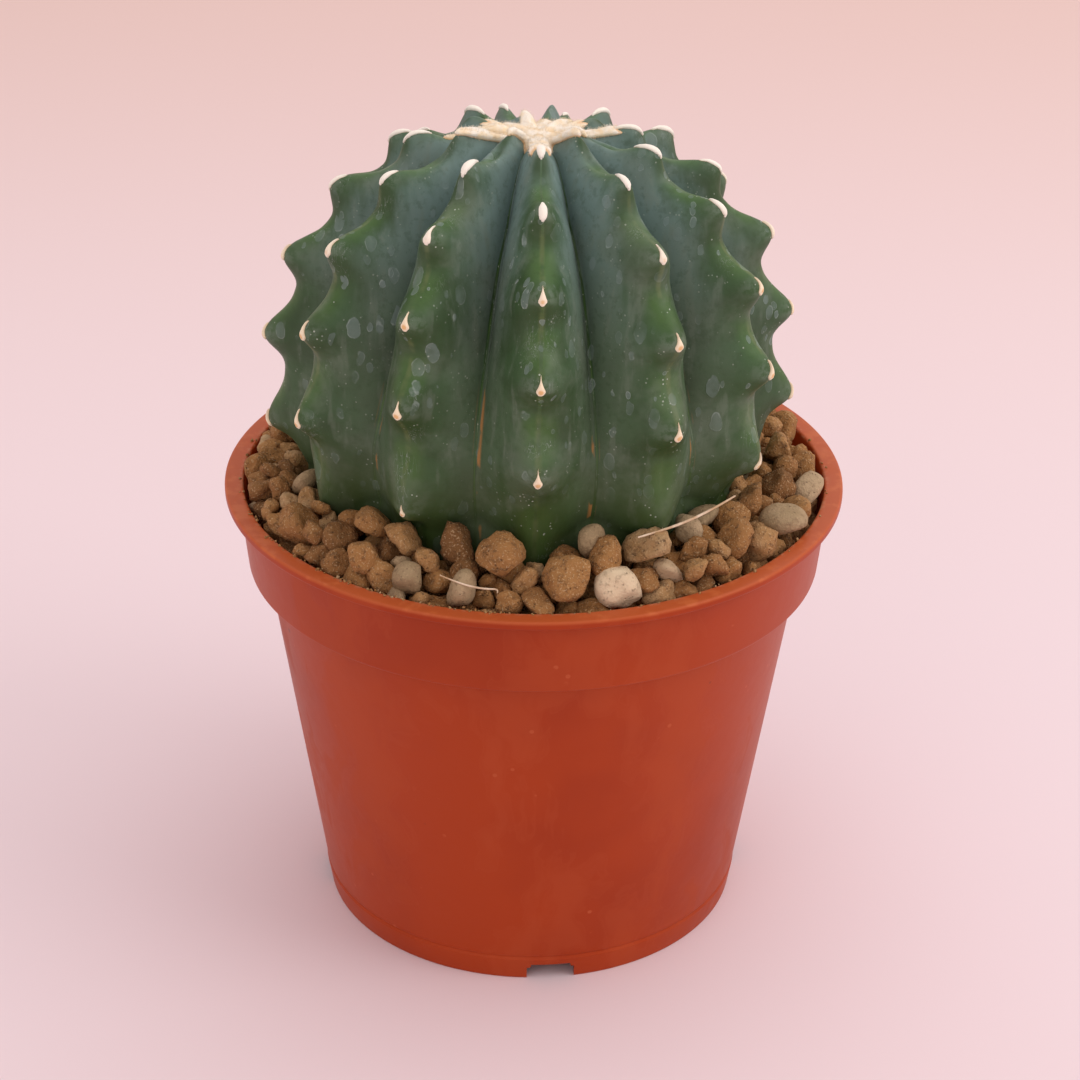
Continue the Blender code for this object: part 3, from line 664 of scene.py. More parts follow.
def onCrest(crest, key, value):
    keys = crest[key]

    def at(place, rows):
        return np.array([np.interp(place, keys, rows[:, axis]) for axis in range(3)])

    spot, facing = at(value, crest[2]), at(value, crest[3])
    reach = 1.6 * mm if key == 0 else 0.11
    high, low = at(value - reach, crest[2]), at(value + reach, crest[2])
    upward = (high - low) / np.linalg.norm(high - low)
    return spot, facing / np.linalg.norm(facing), upward, float(np.interp(value, keys, crest[0]))


# A closed pad: its outline is a width for each place along it, and it is domed on top.
def padTemplate(name, width, core, folder):
    rows, columns = 18, 10
    verts, rise, heart = [(0.0, -1.0, 0.0)], [0.0], [0.0]
    for row in range(1, rows):
        y = -math.cos(math.pi * row / rows)
        for column in range(columns * 2):
            turn = math.pi * column / columns
            x = math.cos(turn) * width(y)
            top = math.sin(turn)
            verts.append((x, y, 0.0))
            rise.append(top * (1.0 - y * y) ** 0.35 if top > 0.0 else 0.35 * top)
            heart.append(math.exp(-((x / 0.55) ** 2 + ((y - core) / 0.28) ** 2)) if top > 0.0 else 0.0)
    verts.append((0.0, 1.0, 0.0))
    rise.append(0.0)
    heart.append(0.0)
    ring = columns * 2
    faces = [(0, 1 + (c + 1) % ring, 1 + c) for c in range(ring)]
    for row in range(rows - 2):
        first = 1 + row * ring
        faces += [(first + c, first + (c + 1) % ring, first + ring + (c + 1) % ring, first + ring + c)
                  for c in range(ring)]
    last = 1 + (rows - 2) * ring
    faces += [(last + c, last + (c + 1) % ring, len(verts) - 1) for c in range(ring)]
    made = newPiece(name, verts, faces)
    giveValues(made, "FLOAT", rise=rise, heart=heart)
    scene.collection.objects.unlink(made)
    folder.objects.link(made)
    return made


def drapedPadsTree():
    g, given = newTool("drapedPads", {"Pads": "Collection", "Ground": "Object", "Finish": "Material"})
    turn = g.add("FunctionNodeAlignRotationToVector", {"axis": "Z"}, {"Vector": g.stored("facing")})
    turn = g.add("FunctionNodeAlignRotationToVector", {"axis": "Y", "pivot_axis": "Z"},
        {"Rotation": turn, "Vector": g.stored("upward")})
    flat = g.strewn(given["Geometry"], given["Pads"], turn, g.stored("size"))
    ground = g.shapeOf(given["Ground"])
    spot = g.geo("InputPosition")
    near = g.geo("Proximity", {0: ground, "Sample Position": spot}, {"target_element": "FACES"})
    normal = g.normalOf(ground, {"Sample Position": spot})
    lumps = 0.75 + g.noise(spot, 900.0, 2.0) * 0.5
    lift = g.stored("rise", "FLOAT") * g.stored("thick", "FLOAT") * lumps
    raised = g.vector("ADD", near, g.scaled(normal, lift))
    shaped = g.geo("SetPosition", {"Geometry": flat, "Position": raised})
    return closeTool(g, shaped, given["Finish"])


# Short felted hairs over a pad, most of them lying over.
def feltTree():
    g, given = newTool("felt", {"Hair": "Object", "Ground": "Object", "Hairs per mm2": "Float", "Length": "Float",
                                "Lean": "Float", "Thickness": "Float", "Finish": "Material"})
    ground = g.shapeOf(given["Ground"])
    gap = g.geo("Proximity", {0: ground}, {"target_element": "FACES"}, "Distance")
    upward = g.vector("DOT_PRODUCT", g.geo("InputNormal"), g.normalOf(ground)).also("Value")
    pad = g.geo("StoreNamedAttribute", {"Geometry": given["Geometry"], "Name": "lift",
        "Value": gap / given["Thickness"]}, {"data_type": "FLOAT", "domain": "POINT"})
    strewn = g.geo("DistributePointsOnFaces", {"Mesh": pad,
        "Selection": (gap - 0.08 * mm) * (upward + 0.35).atLeast(0.0), "Density": given["Hairs per mm2"] * 1e6,
        "Seed": 4})
    tilt = g.add("FunctionNodeRandomValue", {"data_type": "FLOAT_VECTOR"},
                 {0: (-1.0, -1.0, -1.0), 1: (1.0, 1.0, 1.0), "Seed": 9}, "Value")
    aim = g.vector("ADD", strewn.also("Normal"), g.scaled(tilt, given["Lean"]))
    turn = g.add("FunctionNodeAlignRotationToVector", {"axis": "Z"}, {"Vector": aim})
    turn = g.add("FunctionNodeRotateRotation", {"rotation_space": "LOCAL"},
        {"Rotation": turn, "Rotate By": g.add("FunctionNodeAxisAngleToRotation", None,
        {"Axis": (0.0, 0.0, 1.0), "Angle": g.chance(0.0, 6.28, 2)})})
    length = given["Length"] * g.chance(0.4, 1.2, 5)
    hairs = g.geo("InstanceOnPoints", {"Points": strewn, "Instance": g.shapeOf(given["Hair"]), "Rotation": turn,
        "Scale": g.join(length, length, length)})
    joined = g.geo("JoinGeometry")
    for part in (hairs, pad):
        g.tree.links.new(part.socket, joined.socket.node.inputs[0])
    return closeTool(g, joined, given["Finish"])


woolLook = {"white": (0.97, 0.91, 0.8), "cream": (0.95, 0.77, 0.51), "tan": (0.8, 0.45, 0.16)}


def woolMaterial(name, crown):
    made, g, shader = newMaterial(name, Sheen_Weight=0.35, Sheen_Roughness=0.5, Specular_IOR_Level=0.2)
    where = g.place()
    lumps, fine = g.noise(where, 480.0, 3.0), g.noise(where, 2600.0, 2.0)
    lift = g.read("lift")
    if crown:
        edge = g.fall(lift + (lumps - 0.5) * 0.6, 0.05, 0.45)
        colour = g.mix(g.mix(woolLook["white"], woolLook["cream"], g.ease(lumps, 0.38, 0.66, 0.0, 0.9)),
                       woolLook["tan"], edge * 0.75)
    else:
        age, heart = g.read("age"), g.read("heart")
        colour = g.mix(woolLook["white"], woolLook["cream"], g.ease(age + (lumps - 0.5) * 0.5, 0.15, 0.95, 0.0, 0.75))
        colour = g.mix(colour, woolLook["tan"], g.ease(heart * age + (lumps - 0.5) * 0.35, 0.25, 0.75) * 0.85)
        colour = g.mix(colour, woolLook["tan"], g.ease(lift, 0.0, 0.35, 0.4, 0.0))
    colour = g.mix(colour, woolLook["tan"], g.ease(fine, 0.6, 0.74) * 0.18)
    finishMaterial(g, shader, colour, 0.86 + fine * 0.1, lumps * 0.5 + fine * 0.4, 0.0003, 0.45)
    return made


# Wool: an areole on the bumps of every rib, and a star on the crown.
areoles = {"firstAlong": 14.0 * mm, "lastAlong": 99.0 * mm, "stripLength": 2.8 * mm, "dropLength": 1.95 * mm,
           "width": 0.82 * mm, "thickness": 0.42 * mm}
# how far each arm of the star runs down its rib, from the front rib round by the right
crownWool = {"armLengths": (14.5, 13.0, 9.5, 12.0, 7.5, 8.5, 7.0, 8.0, 7.0, 8.0, 13.5, 14.5, 10.5),
             "armWidth": 1.3 * mm, "centre": 7.6 * mm, "thickness": 1.25 * mm, "voxel": 0.26 * mm}

padFolder = bpy.data.collections.new("padShapes")
scene.collection.children.link(padFolder)
padTemplate("pad0strip", lambda y: (1.0 - abs(y) ** 2.6) ** 0.5 * (0.86 - 0.22 * y), -0.6, padFolder)
padTemplate("pad1drop", lambda y: max(0.0, 1.0 - ((y + 0.42) / 0.58) ** 2) ** 0.5 if y < -0.42
            else 0.16 * (1.0 - y) ** 0.35 + 0.84 * max(0.0, 1.0 - (y + 0.42) / 0.95) ** 1.7, -0.42, padFolder)
padTemplate("pad2arm", lambda y: (1.0 - y * y) ** 0.42 * 1.0, 0.0, padFolder)
hair = newPiece("feltHair", [(math.cos(a) * w, math.sin(a) * w + b, h) for h, w, b in
                             ((0.0, 0.045, 0.0), (0.45, 0.04, 0.1), (0.85, 0.024, 0.32))
                             for a in (0.0, 2.1, 4.2)] + [(0.0, 0.52, 1.05)],
                [(r * 3 + c, r * 3 + (c + 1) % 3, r * 3 + 3 + (c + 1) % 3, r * 3 + 3 + c) for r in (0, 1)
                 for c in range(3)] + [(6, 7, 9), (7, 8, 9), (8, 6, 9), (2, 1, 0)])
padsTree, felt = drapedPadsTree(), feltTree()
crests = crestPlaces()


def padPoints(name, rows):
    made = newPiece(name, [row["spot"] for row in rows])
    giveRows(made, rows, "FLOAT_VECTOR", "facing", "upward", "size")
    giveRows(made, rows, "INT", "kind")
    giveRows(made, rows, "FLOAT", "thick", "age")
    return made


def makeAreoles():
    dice = np.random.default_rng(21)
    rows = []
    for number, crest in enumerate(crests):
        for count in range(math.ceil(crest[1][0]), math.floor(crest[1][-1]) + 1):
            spot, facing, upward, along = onCrest(crest, 1, count - 0.02)
            arm = crownWool["armLengths"][number] * mm
            if along < max(areoles["firstAlong"], arm) or along > areoles["lastAlong"]:
                continue
            age = min(1.0, max(0.0, (along - 28.0 * mm) / (28.0 * mm)))
            young = age < 0.35
            long = areoles["stripLength"] if young else areoles["dropLength"] + (1.0 - age) * 0.7 * mm
            long *= dice.uniform(0.88, 1.12)
            wide = areoles["width"] * dice.uniform(0.9, 1.12) * (1.08 if not young else 1.0)
            if along < 26.0 * mm:
                long, wide = long * 1.3, wide * 1.42
            if along > 84.0 * mm:
                long, wide = long * 0.7, wide * 0.6
            rows.append({"spot": spot, "facing": facing, "upward": upward, "size": (wide, long, 1.0),
                         "kind": 0 if young else 1, "thick": areoles["thickness"] * dice.uniform(0.8, 1.2),
                         "age": age})
    made = padPoints("areolePoints", rows)
    useTool(made, padsTree, {"Pads": padFolder, "Ground": stem})
    finish = woolMaterial("areoleFelt", False)
    useTool(made, felt, {"Hair": hair, "Ground": stem, "Hairs per mm2": 9.0, "Length": 0.36 * mm, "Lean": 0.8,
                         "Thickness": areoles["thickness"], "Finish": finish})
    print("areoles:", len(rows))
    return settle(made, "areole_pads")


def makeCrown():
    rows = []
    for number, crest in enumerate(crests):
        length = crownWool["armLengths"][number] * mm
        spot, facing, upward, along = onCrest(crest, 0, 0.5 * length + 0.4 * mm)
        rows.append({"spot": spot, "facing": facing, "upward": upward, "kind": 2, "age": 0.0,
                     "size": (crownWool["armWidth"], 0.5 * length + 1.2 * mm, 1.0), "thick": crownWool["thickness"]})
    spot, facing, upward, along = onCrest(crests[0], 0, 0.4 * mm)
    rows.append({"spot": spot, "facing": (0.0, 0.0, 1.0), "upward": (0.0, 1.0, 0.0), "kind": 2, "age": 0.0,
                 "size": (crownWool["centre"], crownWool["centre"], 1.0), "thick": 1.5 * crownWool["thickness"]})
    made = padPoints("crownPoints", rows)
    useTool(made, padsTree, {"Pads": padFolder, "Ground": stem})
    fuse = made.modifiers.new("fuse", "REMESH")
    fuse.mode, fuse.voxel_size, fuse.use_smooth_shade = "VOXEL", crownWool["voxel"], True
    soften = made.modifiers.new("soften", "SMOOTH")
    soften.iterations, soften.factor = 4, 0.5
    finish = woolMaterial("crownFelt", True)
    useTool(made, felt, {"Hair": hair, "Ground": stem, "Hairs per mm2": 16.0, "Length": 0.45 * mm, "Lean": 1.1,
                         "Thickness": crownWool["thickness"], "Finish": finish})
    return settle(made, "crown_star")


areolePiece = makeAreoles()
crownPiece = makeCrown()
print("wool made,", len(areolePiece.data.polygons), "and", len(crownPiece.data.polygons), "faces")

gravel = {
    "grains": 430, "fragments": 260, "mix": (76.8 * mm, 72.8 * mm), "mixRadii": (35.4 * mm, 49.2 * mm),
    "steps": 260, "restSteps": 60, "sink": 0.1 * mm, "rest": 0.03 * mm, "seed": 12,
    "heap": (85.0 * mm, 0.4), "dust": 130,  # heap: height at the wall, and its rise inwards
}
# Stones with a place of their own: turn from the front in degrees, distance out, height and half
# width in mm, shape, tint.
notable = [dict(zip(("turn", "out", "high", "half", "shape", "tint"), row)) for row in (
    (-7, 41.5, 85.4, 3.7, 1, 0.5), (7, 44.8, 83.4, 3.9, 4, 0.56), (17, 45.8, 81.0, 3.5, 13, 1.0),
    (14, 38.5, 86.0, 3.0, 11, 0.3), (16, 41.8, 84.4, 3.4, 2, 0.45), (29, 44.2, 81.6, 2.4, 12, 0.8),
    (63, 45.8, 81.6, 3.3, 10, 0.48), (80, 46.6, 80.8, 2.6, 12, 0.7), (-68, 40.5, 84.4, 2.5, 10, 0.35),
    (-25, 46.0, 81.2, 2.7, 13, 0.42), (-14, 46.0, 80.8, 2.8, 11, 0.5), (-41, 39.5, 85.0, 3.2, 3, 0.52),
    (47, 44.7, 83.0, 3.0, 6, 0.4), (-56, 45.8, 81.8, 3.4, 7, 0.45)
)]


# Lumps made by planes that cut a ball, their edges rounded; the last few are smoother pebbles and one chalk.
def stoneShape(index, folder, level, prefix):
    dice = np.random.default_rng(100 + index)
    shape = bmesh.new()
    bmesh.ops.create_icosphere(shape, subdivisions=level, radius=1.0)
    points = np.array([v.co for v in shape.verts])
    pebble, chalk = index in (10, 11, 12), index == 13
    planes = dice.normal(size=(7 if chalk else 9, 3))
    planes /= np.linalg.norm(planes, axis=1)[:, None]
    away = dice.uniform(0.6 if pebble else 0.52, 0.95, len(planes))
    power = 24.0 if chalk else (6.0 if pebble else 20.0)
    reach = (np.maximum(points @ planes.T, 0.0) / away) ** power
    radius = (reach.sum(axis=1) + 1.0) ** (-1.0 / power)
    if not pebble:
        lumps = dice.normal(size=(14, 3))
        lumps /= np.linalg.norm(lumps, axis=1)[:, None]
        for lump in lumps:
            radius += dice.uniform(-0.12, 0.11) * np.exp(-((1.0 - points @ lump) / 0.06))
        radius += dice.normal(scale=0.018, size=len(radius))
    stretch = np.array([1.0, dice.uniform(0.78, 0.95), dice.uniform(0.66, 0.88)])
    if index == 12:
        stretch = np.array([1.15, 0.8, 0.5])
    points = points * radius[:, None] * stretch
    points -= points.mean(axis=0)
    points /= np.percentile(np.linalg.norm(points, axis=1), 70)
    for vert, point in zip(shape.verts, points):
        vert.co = point
    mesh = bpy.data.meshes.new(f"{prefix}{index:02d}")
    shape.to_mesh(mesh)
    shape.free()
    made = bpy.data.objects.new(mesh.name, mesh)
    folder.objects.link(made)


def allGaps(spots):
    gaps = spots[:, None, :] - spots[None, :, :]
    return gaps, np.sqrt((gaps ** 2).sum(axis=2))


# Drops the grains, pushes them off each other, the plant, the wall and the mix, and keeps those held up.
def strewGrains():
    dice = np.random.default_rng(gravel["seed"])
    fixed = len(notable)
    total = gravel["grains"] + gravel["fragments"]
    half = np.concatenate([dice.triangular(1.25, 1.9, 3.3, gravel["grains"]) * mm,
                           dice.uniform(0.7, 1.5, gravel["fragments"]) * mm])
    angle = dice.uniform(-math.pi, math.pi, total)
    out = np.sqrt(dice.uniform(33.0 ** 2, 47.5 ** 2, total)) * mm
    spots = np.stack([out * np.sin(angle), -out * np.cos(angle), dice.uniform(76.0, 90.0, total) * mm], axis=1)
    for index, one in enumerate(notable):
        half[index] = one["half"] * mm
        spots[index] = (*around(one["out"] * mm, math.radians(one["turn"])), one["high"] * mm)
    shell = bmesh.new()
    shell.from_mesh(stem.data)
    tree = BVHTree.FromBMesh(shell)
    shell.free()
    near, far = gravel["mixRadii"]
    held = np.arange(total) < fixed
    pinned = spots[:fixed].copy()
    for step in range(gravel["steps"]):
        spots[~held, 2] -= gravel["sink"] if step < gravel["steps"] - gravel["restSteps"] else gravel["rest"]
        gaps, apart = allGaps(spots)
        apart = apart + 1e-9
        wanted = (half[:, None] + half[None, :]) * 0.97
        push = np.where(apart < wanted, (wanted - apart) / apart, 0.0)
        np.fill_diagonal(push, 0.0)
        share = np.where(held[None, :], 1.0, 0.5)
        spots += 0.55 * (gaps * (push * share)[:, :, None]).sum(axis=1)
        # pot wall
        out = np.hypot(spots[:, 0], spots[:, 1])
        wall = np.array([bandOutside(z) for z in spots[:, 2].clip(stepHeight, pot["height"])]) - pot["wall"]
        limit = wall - half * 1.08 - 0.45 * mm
        squeeze = np.where(out > limit, limit / out, 1.0)
        spots[:, :2] *= squeeze[:, None]
        # potting mix
        slope = (out - near).clip(0.0) / (far - near)
        floor = gravel["mix"][0] + (gravel["mix"][1] - gravel["mix"][0]) * slope.clip(0.0, 1.0) + half * 0.75
        spots[:, 2] = np.maximum(spots[:, 2], floor)
        # the plant
        if step % 2 == 0 or step > gravel["steps"] - 20:
            for index in range(total):
                spot = Vector(spots[index])
                where, normal, face, distance = tree.find_nearest(spot, half[index] * 1.3 + 6.0 * mm)
                if where is None:
                    continue
                inside = (spot - where).dot(normal) < 0.0
                lack = half[index] * 0.92 + (distance if inside else -distance)
                if lack > 0.0:
                    spots[index] += np.array(normal) * lack * 0.8
        spots[:fixed] = pinned
    # grains on top of the heap, or with nothing under them, are taken away
    out = np.hypot(spots[:, 0], spots[:, 1])
    keep = (spots[:, 2] + half < gravel["heap"][0] + (far - out) * gravel["heap"][1]) | held
    for check in range(3):
        gaps, apart = allGaps(spots)
        close = apart < (half[:, None] + half[None, :]) * 1.04
        carried = (close & (gaps[:, :, 2] > 0.25 * half[:, None]) & keep[None, :]).sum(axis=1)
        slope = ((out - near) / (far - near)).clip(0.0, 1.0)
        floor = gravel["mix"][0] + (gravel["mix"][1] - gravel["mix"][0]) * slope + half * 1.1
        keep = keep & ((carried > 1) | (spots[:, 2] < floor) | held)
    print("gravel left out:", int((~keep).sum()))
    return spots, half, keep, dice


def gravelTree():
    g, given = newTool("gravelBed", {"Stones": "Collection", "Roughness": "Float", "Finish": "Material"})
    turn = g.add("FunctionNodeEulerToRotation", None, {0: g.stored("turn")})
    whole = g.strewn(given["Geometry"], given["Stones"], turn, g.stored("size"))
    spot = g.geo("InputPosition")
    rough = (g.noise(spot, 560.0, 4.0, 0.6) - 0.5) * given["Roughness"]
    moved = g.scaled(g.geo("InputNormal"), rough)
    shaped = g.geo("SetPosition", {"Geometry": whole, "Offset": moved})
    return closeTool(g, shaped, given["Finish"])


clayLook = {"stops": ((0.0, (0.16, 0.074, 0.026)), (0.3, (0.285, 0.134, 0.046)), (0.55, (0.37, 0.18, 0.06)),
                      (0.8, (0.41, 0.225, 0.09)), (1.0, (0.48, 0.33, 0.18)))}
pebbleLook = {"stops": ((0.0, (0.23, 0.155, 0.085)), (0.4, (0.35, 0.245, 0.135)), (0.75, (0.5, 0.36, 0.22)),
                        (1.0, (0.74, 0.58, 0.39)))}


def stoneMaterial(name, look, grit):
    made, g, shader = newMaterial(name, Specular_IOR_Level=0.25)
    where = g.place()
    tint = g.read("tint")
    broad, mid, fine = g.noise(where, 190.0, 3.0), g.noise(where, 900.0, 3.0, 0.65), g.noise(where, 3200.0, 2.0)
    ramp = g.add("ShaderNodeValToRGB", {"stops": look["stops"]}, {0: tint + (broad - 0.5) * 0.6})
    colour = g.mix(ramp, (0.095, 0.048, 0.022), g.ease(mid, 0.52, 0.68) * 0.55 * grit)
    colour = g.mix(colour, (0.66, 0.46, 0.26), g.ease(fine, 0.56, 0.68) * 0.5 * grit)
    # pits: sunk by the bump and painted darker, a painted shade inside them
    pits = g.fall(g.cells(where, 1500.0), 0.1, 0.3) * g.ease(mid, 0.4, 0.62)
    colour = g.mix(colour, (0.07, 0.04, 0.025), pits * 0.4)
    height = mid * 0.75 + fine * 0.35 * grit - pits * 0.35
    finishMaterial(g, shader, colour, 0.88 + (mid - 0.5) * 0.15, height, 0.0006, 0.4 + 0.6 * grit)
    return made


def layStones(name, rows, finish, folder, tree, rough):
    made = newPiece(name + "Points", [row["spot"] for row in rows])
    giveRows(made, rows, "FLOAT_VECTOR", "turn", "size")
    giveRows(made, rows, "INT", "kind")
    giveRows(made, rows, "FLOAT", "tint")
    useTool(made, tree, {"Stones": folder, "Roughness": rough, "Finish": finish})
    return settle(made, name)


def makeGravel():
    big = bpy.data.collections.new("stoneShapes")
    small = bpy.data.collections.new("smallShapes")
    for folder in (big, small):
        scene.collection.children.link(folder)
    for index in range(14):
        stoneShape(index, big, 3, "stone")
        stoneShape(index, small, 2, "crumb")
    spots, half, keep, dice = strewGrains()
    clay, pebbles, crumbs = [], [], []
    for index, (spot, size) in enumerate(zip(spots, half)):
        one = notable[index] if index < len(notable) else None
        kind = one["shape"] if one else int(dice.integers(0, 10))
        tint = one["tint"] if one else float(dice.beta(2.2, 2.2))
        pale = one is None and dice.random() < 0.035
        if pale:
            kind, tint = int(dice.choice([10, 11, 12, 13], p=[0.3, 0.3, 0.2, 0.2])), float(dice.uniform(0.1, 0.75))
        turn = dice.uniform(-math.pi, math.pi, 3) * np.array([0.25 if index % 3 else 1.0,
            0.25 if index % 2 else 1.0, 1.0])
        stretch = dice.uniform(0.9, 1.14, 3)
        row = {"spot": spot, "turn": turn, "size": size * stretch * 1.03, "kind": kind, "tint": tint}
        if not keep[index]:
            continue
        if index >= gravel["grains"]:
            crumbs.append(row)
        elif kind >= 10:
            pebbles.append(row)
        else:
            clay.append(row)
    tree = gravelTree()
    clayFinish = stoneMaterial("firedClay", clayLook, 1.0)
    pieces = [layStones("clay_gravel", clay, clayFinish, big, tree, 1.7 * mm),
              layStones("pale_pebbles", pebbles, stoneMaterial("palePebble", pebbleLook, 0.6), big, tree, 0.55 * mm),
              layStones("gravel_fragments", crumbs, clayFinish, small, tree, 0.5 * mm)]
    # dust and crumbs along the lip's inner edge, mostly at the front left
    dust = []
    for index in range(gravel["dust"]):
        turn = math.radians(dice.normal(-28.0, 24.0) if index % 3 else dice.uniform(-180.0, 180.0))
        out = bandRadius - pot["wall"] + dice.normal(0.35, 0.28) * mm
        grain = dice.uniform(0.1, 0.34) * mm
        dust.append({"spot": (*around(out, turn), pot["height"] + 0.25 * grain), "turn": dice.uniform(-3, 3, 3),
                     "size": grain * dice.uniform(0.7, 1.3, 3), "kind": int(dice.integers(0, 10)),
                     "tint": float(dice.uniform(0.5, 1.0))})
    tiny = bpy.data.collections.new("dustShapes")
    scene.collection.children.link(tiny)
    for index in range(10):
        stoneShape(index, tiny, 1, "dust")
    pieces.append(layStones("lip_dust", dust, clayFinish, tiny, tree, 0.05 * mm))
    for folder in (big, small, tiny):
        for one in list(folder.objects):
            bpy.data.objects.remove(one)
        bpy.data.collections.remove(folder)
    return pieces


clayPiece, pebblePiece, fragmentPiece, dustPiece = makeGravel()
print("gravel made,", sum(len(p.data.polygons) for p in (clayPiece, pebblePiece, fragmentPiece, dustPiece)), "faces")

# Straws are tapered, bent stalks: turn in degrees, distance out and height in mm.
straws = {
    "straw_one": {"path": ((-17.4, 48.0, 83.8), (-15.6, 48.2, 83.4), (-13.6, 48.3, 83.0), (-11.4, 48.3, 82.7),
                           (-9.2, 48.1, 82.4), (-7.4, 47.8, 82.3), (-6.3, 47.5, 82.2), (-6.4, 48.2, 81.9)),
                  "thick": 0.14, "bend": 0.08},
    "straw_two": {"path": ((23.0, 42.4, 86.2), (26.5, 42.5, 86.4), (30.3, 42.5, 86.6), (35.5, 42.3, 86.8),
                           (40.6, 42.1, 87.0), (45.6, 42.0, 87.2), (50.6, 42.0, 87.4)), "thick": 0.2, "bend": 0.08},
}


def strawMaterial():
    made, g, shader = newMaterial("dryStraw", Specular_IOR_Level=0.4)
    where = g.place()
    fine, mid = g.noise(where, 2400.0, 2.0), g.noise(where, 260.0, 2.0)
    colour = g.mix((0.56, 0.36, 0.2), (0.8, 0.64, 0.48), g.ease(mid, 0.35, 0.62))
    colour = g.mix(colour, (0.32, 0.16, 0.07), g.ease(fine, 0.58, 0.72) * 0.35)
    finishMaterial(g, shader, colour, 0.62 + fine * 0.2, fine, 0.0001, 0.5)
    return made


# A straw lies on the stones: it is lifted where a stone is in its way.
def makeStraw(name, spec, finish, ground):
    spots = [Vector((*around(out * mm, math.radians(turn)), high * mm)) for turn, out, high in spec["path"]]
    lack = []
    for spot in spots:
        found = ground.ray_cast(Vector((spot.x, spot.y, 0.12)), Vector((0.0, 0.0, -1.0)))[0]
        lack.append(found.z + spec["thick"] * mm - spot.z if found else 0.0)
    whole = max(lack) + 0.1 * mm
    for spot, here in zip(spots, lack):
        spot.z += whole + max(-1.5 * mm, min(1.5 * mm, here - whole)) * spec["bend"]
    data = bpy.data.curves.new(name, "CURVE")
    data.dimensions = "3D"
    data.bevel_depth, data.bevel_resolution, data.use_fill_caps = spec["thick"] * mm, 2, True
    line = data.splines.new("NURBS")
    line.points.add(len(spots) - 1)
    for index, spot in enumerate(spots):
        line.points[index].co = (*spot, 1.0)
        line.points[index].radius = 0.55 + 0.6 * math.sin(math.pi * (index + 0.6) / (len(spots) + 0.4))
    line.use_endpoint_u, line.order_u, line.resolution_u = True, 4, 10
    source = bpy.data.objects.new(name + "Line", data)
    scene.collection.objects.link(source)
    made = settle(source, name)
    made.data.materials.clear()
    made.data.materials.append(finish)
    made.data.shade_smooth()
    return made


strawFinish = strawMaterial()
stones = bmesh.new()
for one in (clayPiece, pebblePiece, fragmentPiece):
    stones.from_mesh(one.data)
stoneTree = BVHTree.FromBMesh(stones)
stones.free()
strawPieces = {name: makeStraw(name, spec, strawFinish, stoneTree) for name, spec in straws.items()}


def soilMaterial():
    made, g, shader = newMaterial("darkSoil", Specular_IOR_Level=0.2)
    where = g.place()
    crumbs, fine = g.cells(where, 520.0), g.noise(where, 1600.0, 3.0)
    # crumb tops lighter and the gaps between them darker: painted shade over the soil's own dark brown
    colour = g.mix((0.045, 0.026, 0.016), (0.13, 0.075, 0.04), g.fall(crumbs, 0.15, 0.75))
    colour = g.mix(colour, (0.26, 0.17, 0.1), g.ease(fine, 0.58, 0.7) * 0.5)
    finishMaterial(g, shader, colour, 0.92 + fine * 0.05, 1.0 - crumbs + fine * 0.5, 0.0011, 0.9)
    return made


# the potting mix under the stones keeps its own mesh
soil = soilMaterial()
mixNode = frame["nodes"]["potting_mix"]
mixNode.data.materials.clear()
mixNode.data.materials.append(soil)
for leftover in list(padFolder.objects) + [hair]:
    bpy.data.objects.remove(leftover)
bpy.data.collections.remove(padFolder)
print("straws and soil made")

stoneNodes = sorted(name for name in frame["nodes"] if name.startswith("stone_"))
slotOf = {one["node"]: one["material_slot"] for one in frame["record"]["subparts"]}
pebbleNodes = [name for name in stoneNodes if slotOf[name] == "pebble"]
clayNodes = [name for name in stoneNodes if name not in pebbleNodes]
pieces = (
    (potPiece, "pot_plastic", ["pot"]), (stem, "skin", ["cactus_stem"]), (areolePiece, "wool", []),
    (crownPiece, "wool", ["crown_wool"]), (clayPiece, "clay", clayNodes), (pebblePiece, "pebble", pebbleNodes),
    (fragmentPiece, "clay", []), (dustPiece, "clay", []),
    (strawPieces["straw_one"], "straw", ["straw_front"]), (strawPieces["straw_two"], "straw", ["straw_side"]),
)
for piece, slot, nodes in pieces:
    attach(piece, "root")
    if nodes:
        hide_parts(*nodes)

studio = {"floorNear": (0.862, 0.725, 0.765), "floorFarShade": (0.775, 0.565, 0.52), "ambient": 0.78, "keyPower": 4.8,
          "keySize": 2.1, "fillPower": 0.9, "sidePower": 3.6}


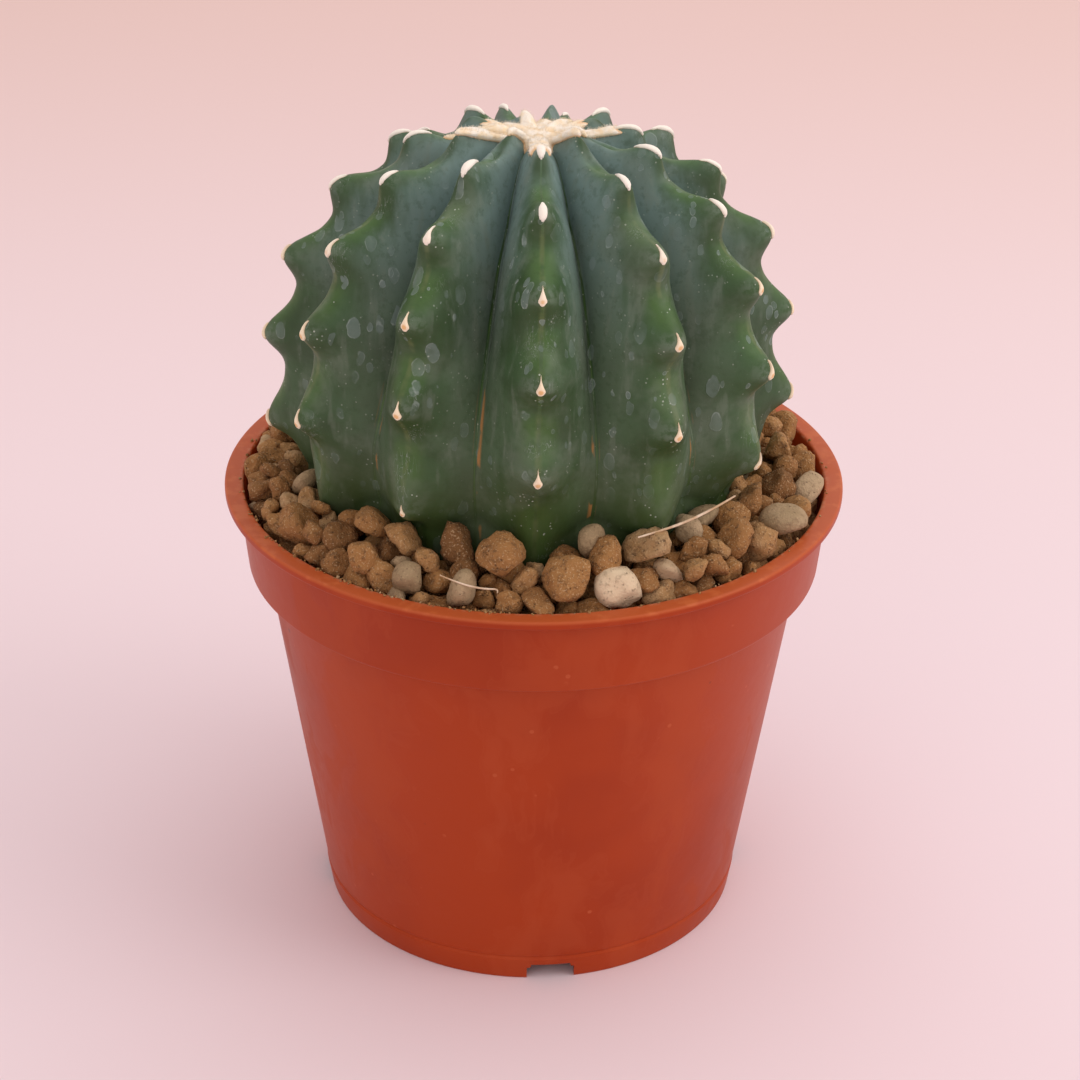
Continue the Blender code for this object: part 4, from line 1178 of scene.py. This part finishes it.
def makeFloor():
    floor = newPiece("studioFloor", [(-5, -5, 0), (5, -5, 0), (5, 5, 0), (-5, 5, 0)], [(0, 1, 2, 3)])
    made, g, shader = newMaterial("palePaper", Specular_IOR_Level=0.1)
    parts = g.split(g.place())
    # darker and peachier towards the back: a painted shade where a backdrop would curve up
    far = g.ease(parts.also("Y"), 0.02, 0.62)
    colour = g.mix(studio["floorNear"], studio["floorFarShade"], far)
    colour = g.mix(colour, (0.8, 0.6, 0.58), g.ease(g.noise(g.place(), 3.0, 1.0), 0.4, 0.7) * 0.12)
    finishMaterial(g, shader, colour, 0.9 + far * 0.05)
    floor.data.materials.append(made)
    return floor


def makeLights():
    world = bpy.data.worlds.new("studioAir")
    world.use_nodes = True
    sky = world.node_tree.nodes["Background"]
    sky.inputs["Color"].default_value = (1.0, 0.9, 0.895, 1.0)
    sky.inputs["Strength"].default_value = studio["ambient"]
    scene.world = world
    for name, place, aim, power, size in (
            ("keyLight", (0.42, 0.3, 0.95), (0.0, 0.0, 0.08), studio["keyPower"], studio["keySize"]),
            ("sideLight", (1.1, -0.35, 0.75), (0.0, 0.0, 0.08), studio["sidePower"], 0.8),
            ("fillLight", (-0.5, -0.9, 0.55), (0.0, 0.0, 0.08), studio["fillPower"], 0.8)):
        data = bpy.data.lights.new(name, "AREA")
        data.energy, data.shape, data.size = power, "DISK", size
        data.color = (1.0, 0.97, 0.95)
        lamp = bpy.data.objects.new(name, data)
        lamp.location = place
        lamp.rotation_euler = (Vector(place) - Vector(aim)).to_track_quat("Z", "Y").to_euler()
        scene.collection.objects.link(lamp)


view = {"lens": 95.87, "aim": (1.16 * mm, 0.0, 66.2 * mm), "away": 496.8 * mm, "raised": 28.03, "roll": 0.647}


def makeCamera():
    tilt, roll = math.radians(view["raised"]), math.radians(view["roll"])
    back = Vector((0.0, -math.cos(tilt), math.sin(tilt)))
    right, up = Vector((1.0, 0.0, 0.0)), Vector((0.0, math.sin(tilt), math.cos(tilt)))
    rolledRight = math.cos(roll) * right + math.sin(roll) * up
    rolledUp = math.cos(roll) * up - math.sin(roll) * right
    data = bpy.data.cameras.new("studioCamera")
    data.lens, data.sensor_width, data.clip_start = view["lens"], 36.0, 0.01
    camera = bpy.data.objects.new("studioCamera", data)
    turn = Matrix((rolledRight, rolledUp, back)).transposed().to_4x4()
    camera.matrix_world = Matrix.Translation(Vector(view["aim"]) + back * view["away"]) @ turn
    scene.collection.objects.link(camera)
    scene.camera = camera


makeFloor()
makeLights()
makeCamera()
scene.view_settings.view_transform = "Standard"
print("studio set")
